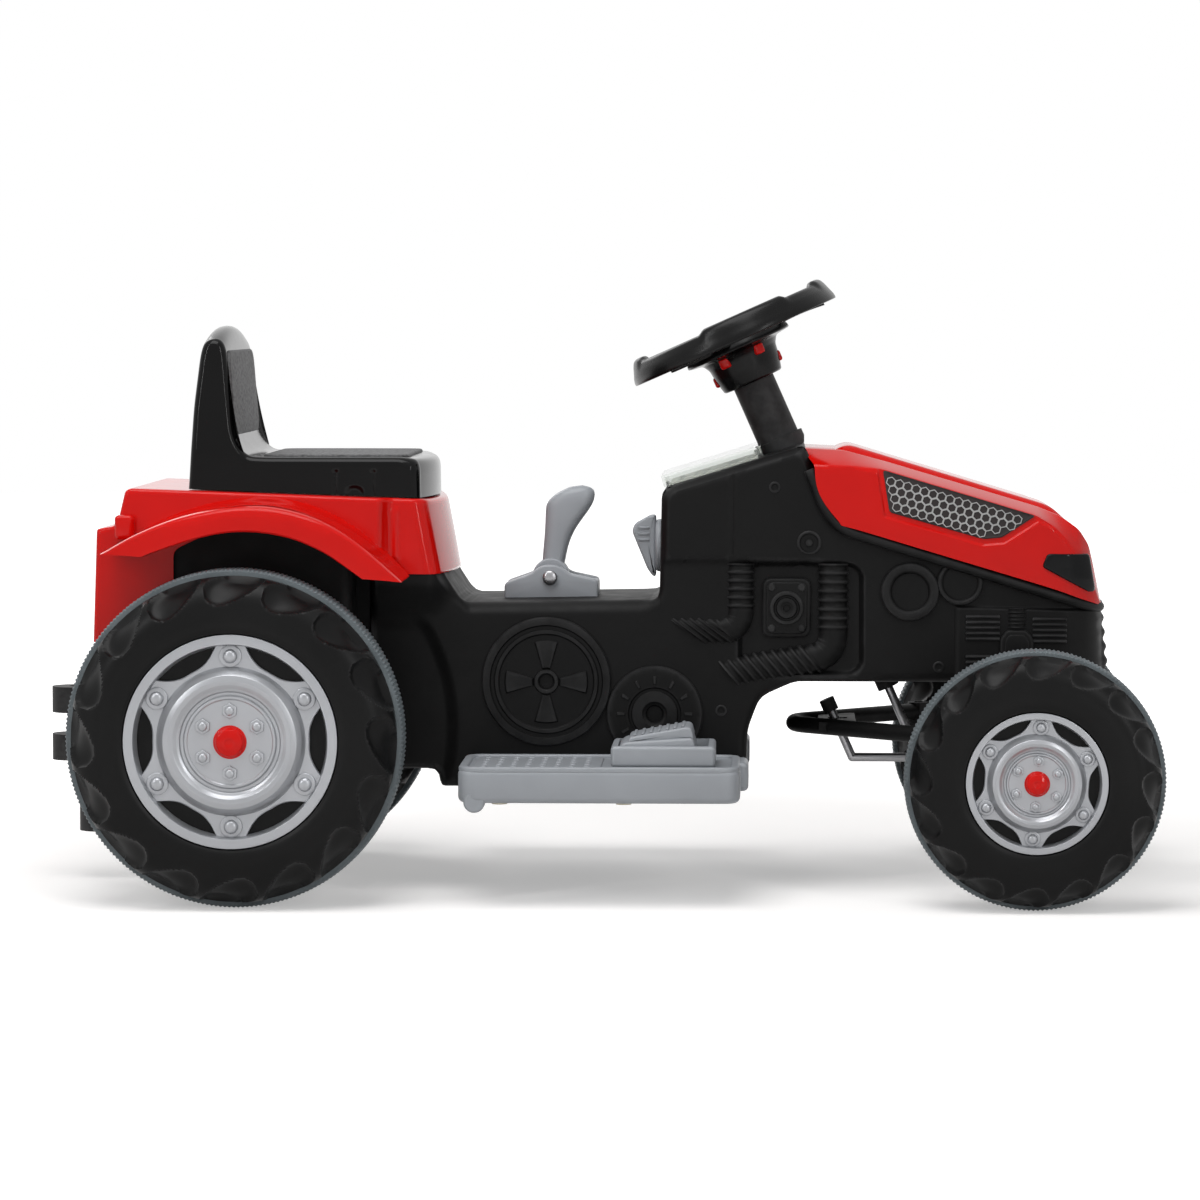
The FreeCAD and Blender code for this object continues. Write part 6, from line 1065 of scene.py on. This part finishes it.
rim_profile = soft_ring([(100.7, -8.8), (100.2, -4), (97, 4), (93, 10.4), (88, 12), (84.5, 10), (81.5, 1),
                         (80.7, -5), (83, -7), (88, -4.5), (94, -5), (98.5, -9)], 3, 5)
grip_at = np.zeros_like(spin)
for middle, reach in ((-79, 27), (79, 27), (0, 20), (180, 20)):
    off = np.abs((np.degrees(spin) - middle + 180) % 360 - 180)
    grip_at = np.maximum(grip_at, 1 - ease(off, reach - 2.5, reach + 2.5))
rim_up = rim_profile[:, 1:] + (3.6 * grip_at - 1.2) * ease(rim_profile[:, 1:], 1, 9)
drum_profile = soft_ring([(20.4, -1), (44, -2), (46.5, -4), (50.5, -13), (50.5, -15.5), (37, -17.5),
                          (33, -24), (31.6, -36), (28.4, -48.5), (20, -49), (20.4, -44)], 2.2)
steering_sheets = [round_column(profile[:, :1], up) for profile, up in (
    (rim_profile, rim_up), (drum_profile, drum_profile[:, 1:]))]
t = np.linspace(0, 1, 12)[:, None]
section = soft_ring([(-1, -11), (-1, -3.5), (-0.85, -2), (0.85, -2), (1, -3.5), (1, -11)], 0.4, 4)
spoke_y = (17 + 6 * (2 * t - 1) ** 2) * section[:, 0]
spoke_up = section[:, 1] + 1.5 * np.sin(math.pi * t)
for number in range(3):
    steering_sheets += capped(on_column(38 + 50 * t, spoke_y, spoke_up, FULL_TURN * number / 3))
make_piece("steering_rim", steering_sheets, wheel_black, "steering", "steering_wheel")

horn_profile = soft_line([(0, -36), (19.6, -36), (19.8, 4), (17.5, 7.6), (9, 9), (0, 9.2)], 2)
horn_sheets = [round_column(horn_profile[:, :1], horn_profile[:, 1:])]
for number in range(6):
    level, reach = (-36, 33.4) if number % 3 == 0 else (-22.5, 36.6)
    horn_sheets += [on_column(*np.moveaxis(lug, -1, 0), math.pi * number / 3)
                    for lug in rounded_box((18, -5, level - 5), (reach, 5, level + 5), 2.2)]
make_piece("horn_push", horn_sheets, cover_red, "horn", "horn_button")


# Ignition switch: a grey winged knob with finger ridges on the dash's rear face, which turns in a
# round base.
knob_line = [(55, 341), (50, 341), (35.5, 333), (33, 326), (47, 292), (52, 285), (55, 285)]
knob_sheets = rounded_plate(soft_line(knob_line, 3, True), -53, -37, 2.5)
for low in 328 - 5.5 * np.arange(3):
    ridge = soft_line([(38.5, low), (49, low), (49, low + 2.4), (38, low + 2.4)], 1, True, 4)
    knob_sheets += rounded_plate(ridge, -54.2, -35.8, 1.0, 3)
base = soft_line([(0, 60), (24, 60), (24, 56.5), (22, 54.6), (0, 54.6)], 1.2)
spin = np.linspace(0, FULL_TURN, 49)[None]
knob_sheets.append(np.stack(np.broadcast_arrays(base[:, 1:], -45 + base[:, :1] * np.cos(spin),
                                                313 + base[:, :1] * np.sin(spin)), -1))
make_piece("ignition_wing", knob_sheets, footrest_grey, "ignition", "ignition_knob")


# Everything else keeps its machined or moulded CAD shape: axles, pins and rod in bright steel, linkage in
# black, bushes and gears in nylon, battery and motor in their own greys, and the clear instrument lens.
nylon = moulded("nylon", (0.62, 0.58, 0.46), 0.45, 900.0, 0.00002, 0.06, 0.4)
inner_grey = moulded("inner_grey", (0.09, 0.09, 0.095), 0.5, 600.0, 0.00003, 0.15, 0.35)

card_print, ink = blank(bpy.data.materials, "card_print")
spot = ink.node("TexCoord", output="Object")
card_x, card_y, card_z = (ink.node("SeparateXYZ", None, {0: spot}, axis) for axis in "XYZ")
card_s = (card_x - 0.060) * 0.956 + (card_z - 0.366) * 0.294
bars = ink.math("SINE", card_y * 900.0).between(0.2, 0.5)
marks = bars * (card_s.between(0.0155, 0.0165) - card_s.between(0.021, 0.022))
for gauge_s, gauge_y, gauge_r in ((0.052, 0.033, 0.021), (0.052, -0.033, 0.021), (0.074, 0.0, 0.011),
                                  (0.034, 0.0, 0.013)):
    off_s, off_y = card_s - gauge_s, card_y - gauge_y
    far_out = (off_s * off_s + off_y * off_y) ** 0.5
    circle = far_out.between(gauge_r - 0.0022, gauge_r - 0.0016) - far_out.between(gauge_r, gauge_r + 0.0006)
    ticks = ink.math("SINE", ink.math("ARCTAN2", off_s, off_y) * 16.0).between(0.55, 0.75)
    dial = far_out.between(gauge_r * 0.66, gauge_r * 0.68) - far_out.between(gauge_r * 0.86, gauge_r * 0.88)
    marks = marks + circle + ticks * dial + (1 - far_out.between(0.0022, 0.0026))
printed = ink.math("MINIMUM", marks, 1.0).tint((0.62, 0.63, 0.58), (0.03, 0.03, 0.035))
ink.node("BsdfPrincipled", None, {"Base Color": printed, "Roughness": 0.4 + 0.2 * spot.noise(300.0, 3.0),
                                  "Specular IOR Level": 0.3}).end()

lens, clear = blank(bpy.data.materials, "clear_lens")
haze = clear.node("TexCoord", output="Object").noise(60.0).between(0.35, 0.7)
clear.node("BsdfPrincipled", None,
           {"Base Color": (0.86, 0.88, 0.86, 1), "Roughness": 0.03 + 0.05 * haze, "Transmission Weight": 0.95,
            "IOR": 1.25}).end()

finishes = {
    steel: ["rear_axle", "kingpins", "steering_rod", "gear_pin"],
    body_black: ["front_axle_beam", "knuckle_right", "knuckle_left", "tie_bar", "crank_cap", "column_collar",
                 "steering_tube", "lower_column_bush", "rear_hitch"],
    nylon: ["axle_bushes", "drive_gear", "idler_gear", "motor_pinion", "footrest_screws"],
    inner_grey: ["battery", "motor", "gearbox_case", "gearbox_cover"],
    card_print: ["dash_card"],
    lens: ["dash_lens"],
}
for finish, names in finishes.items():
    for name in names:
        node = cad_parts[name]
        if not node.material_slots:
            node.data.materials.append(finish)
        for slot in node.material_slots:
            slot.material = finish
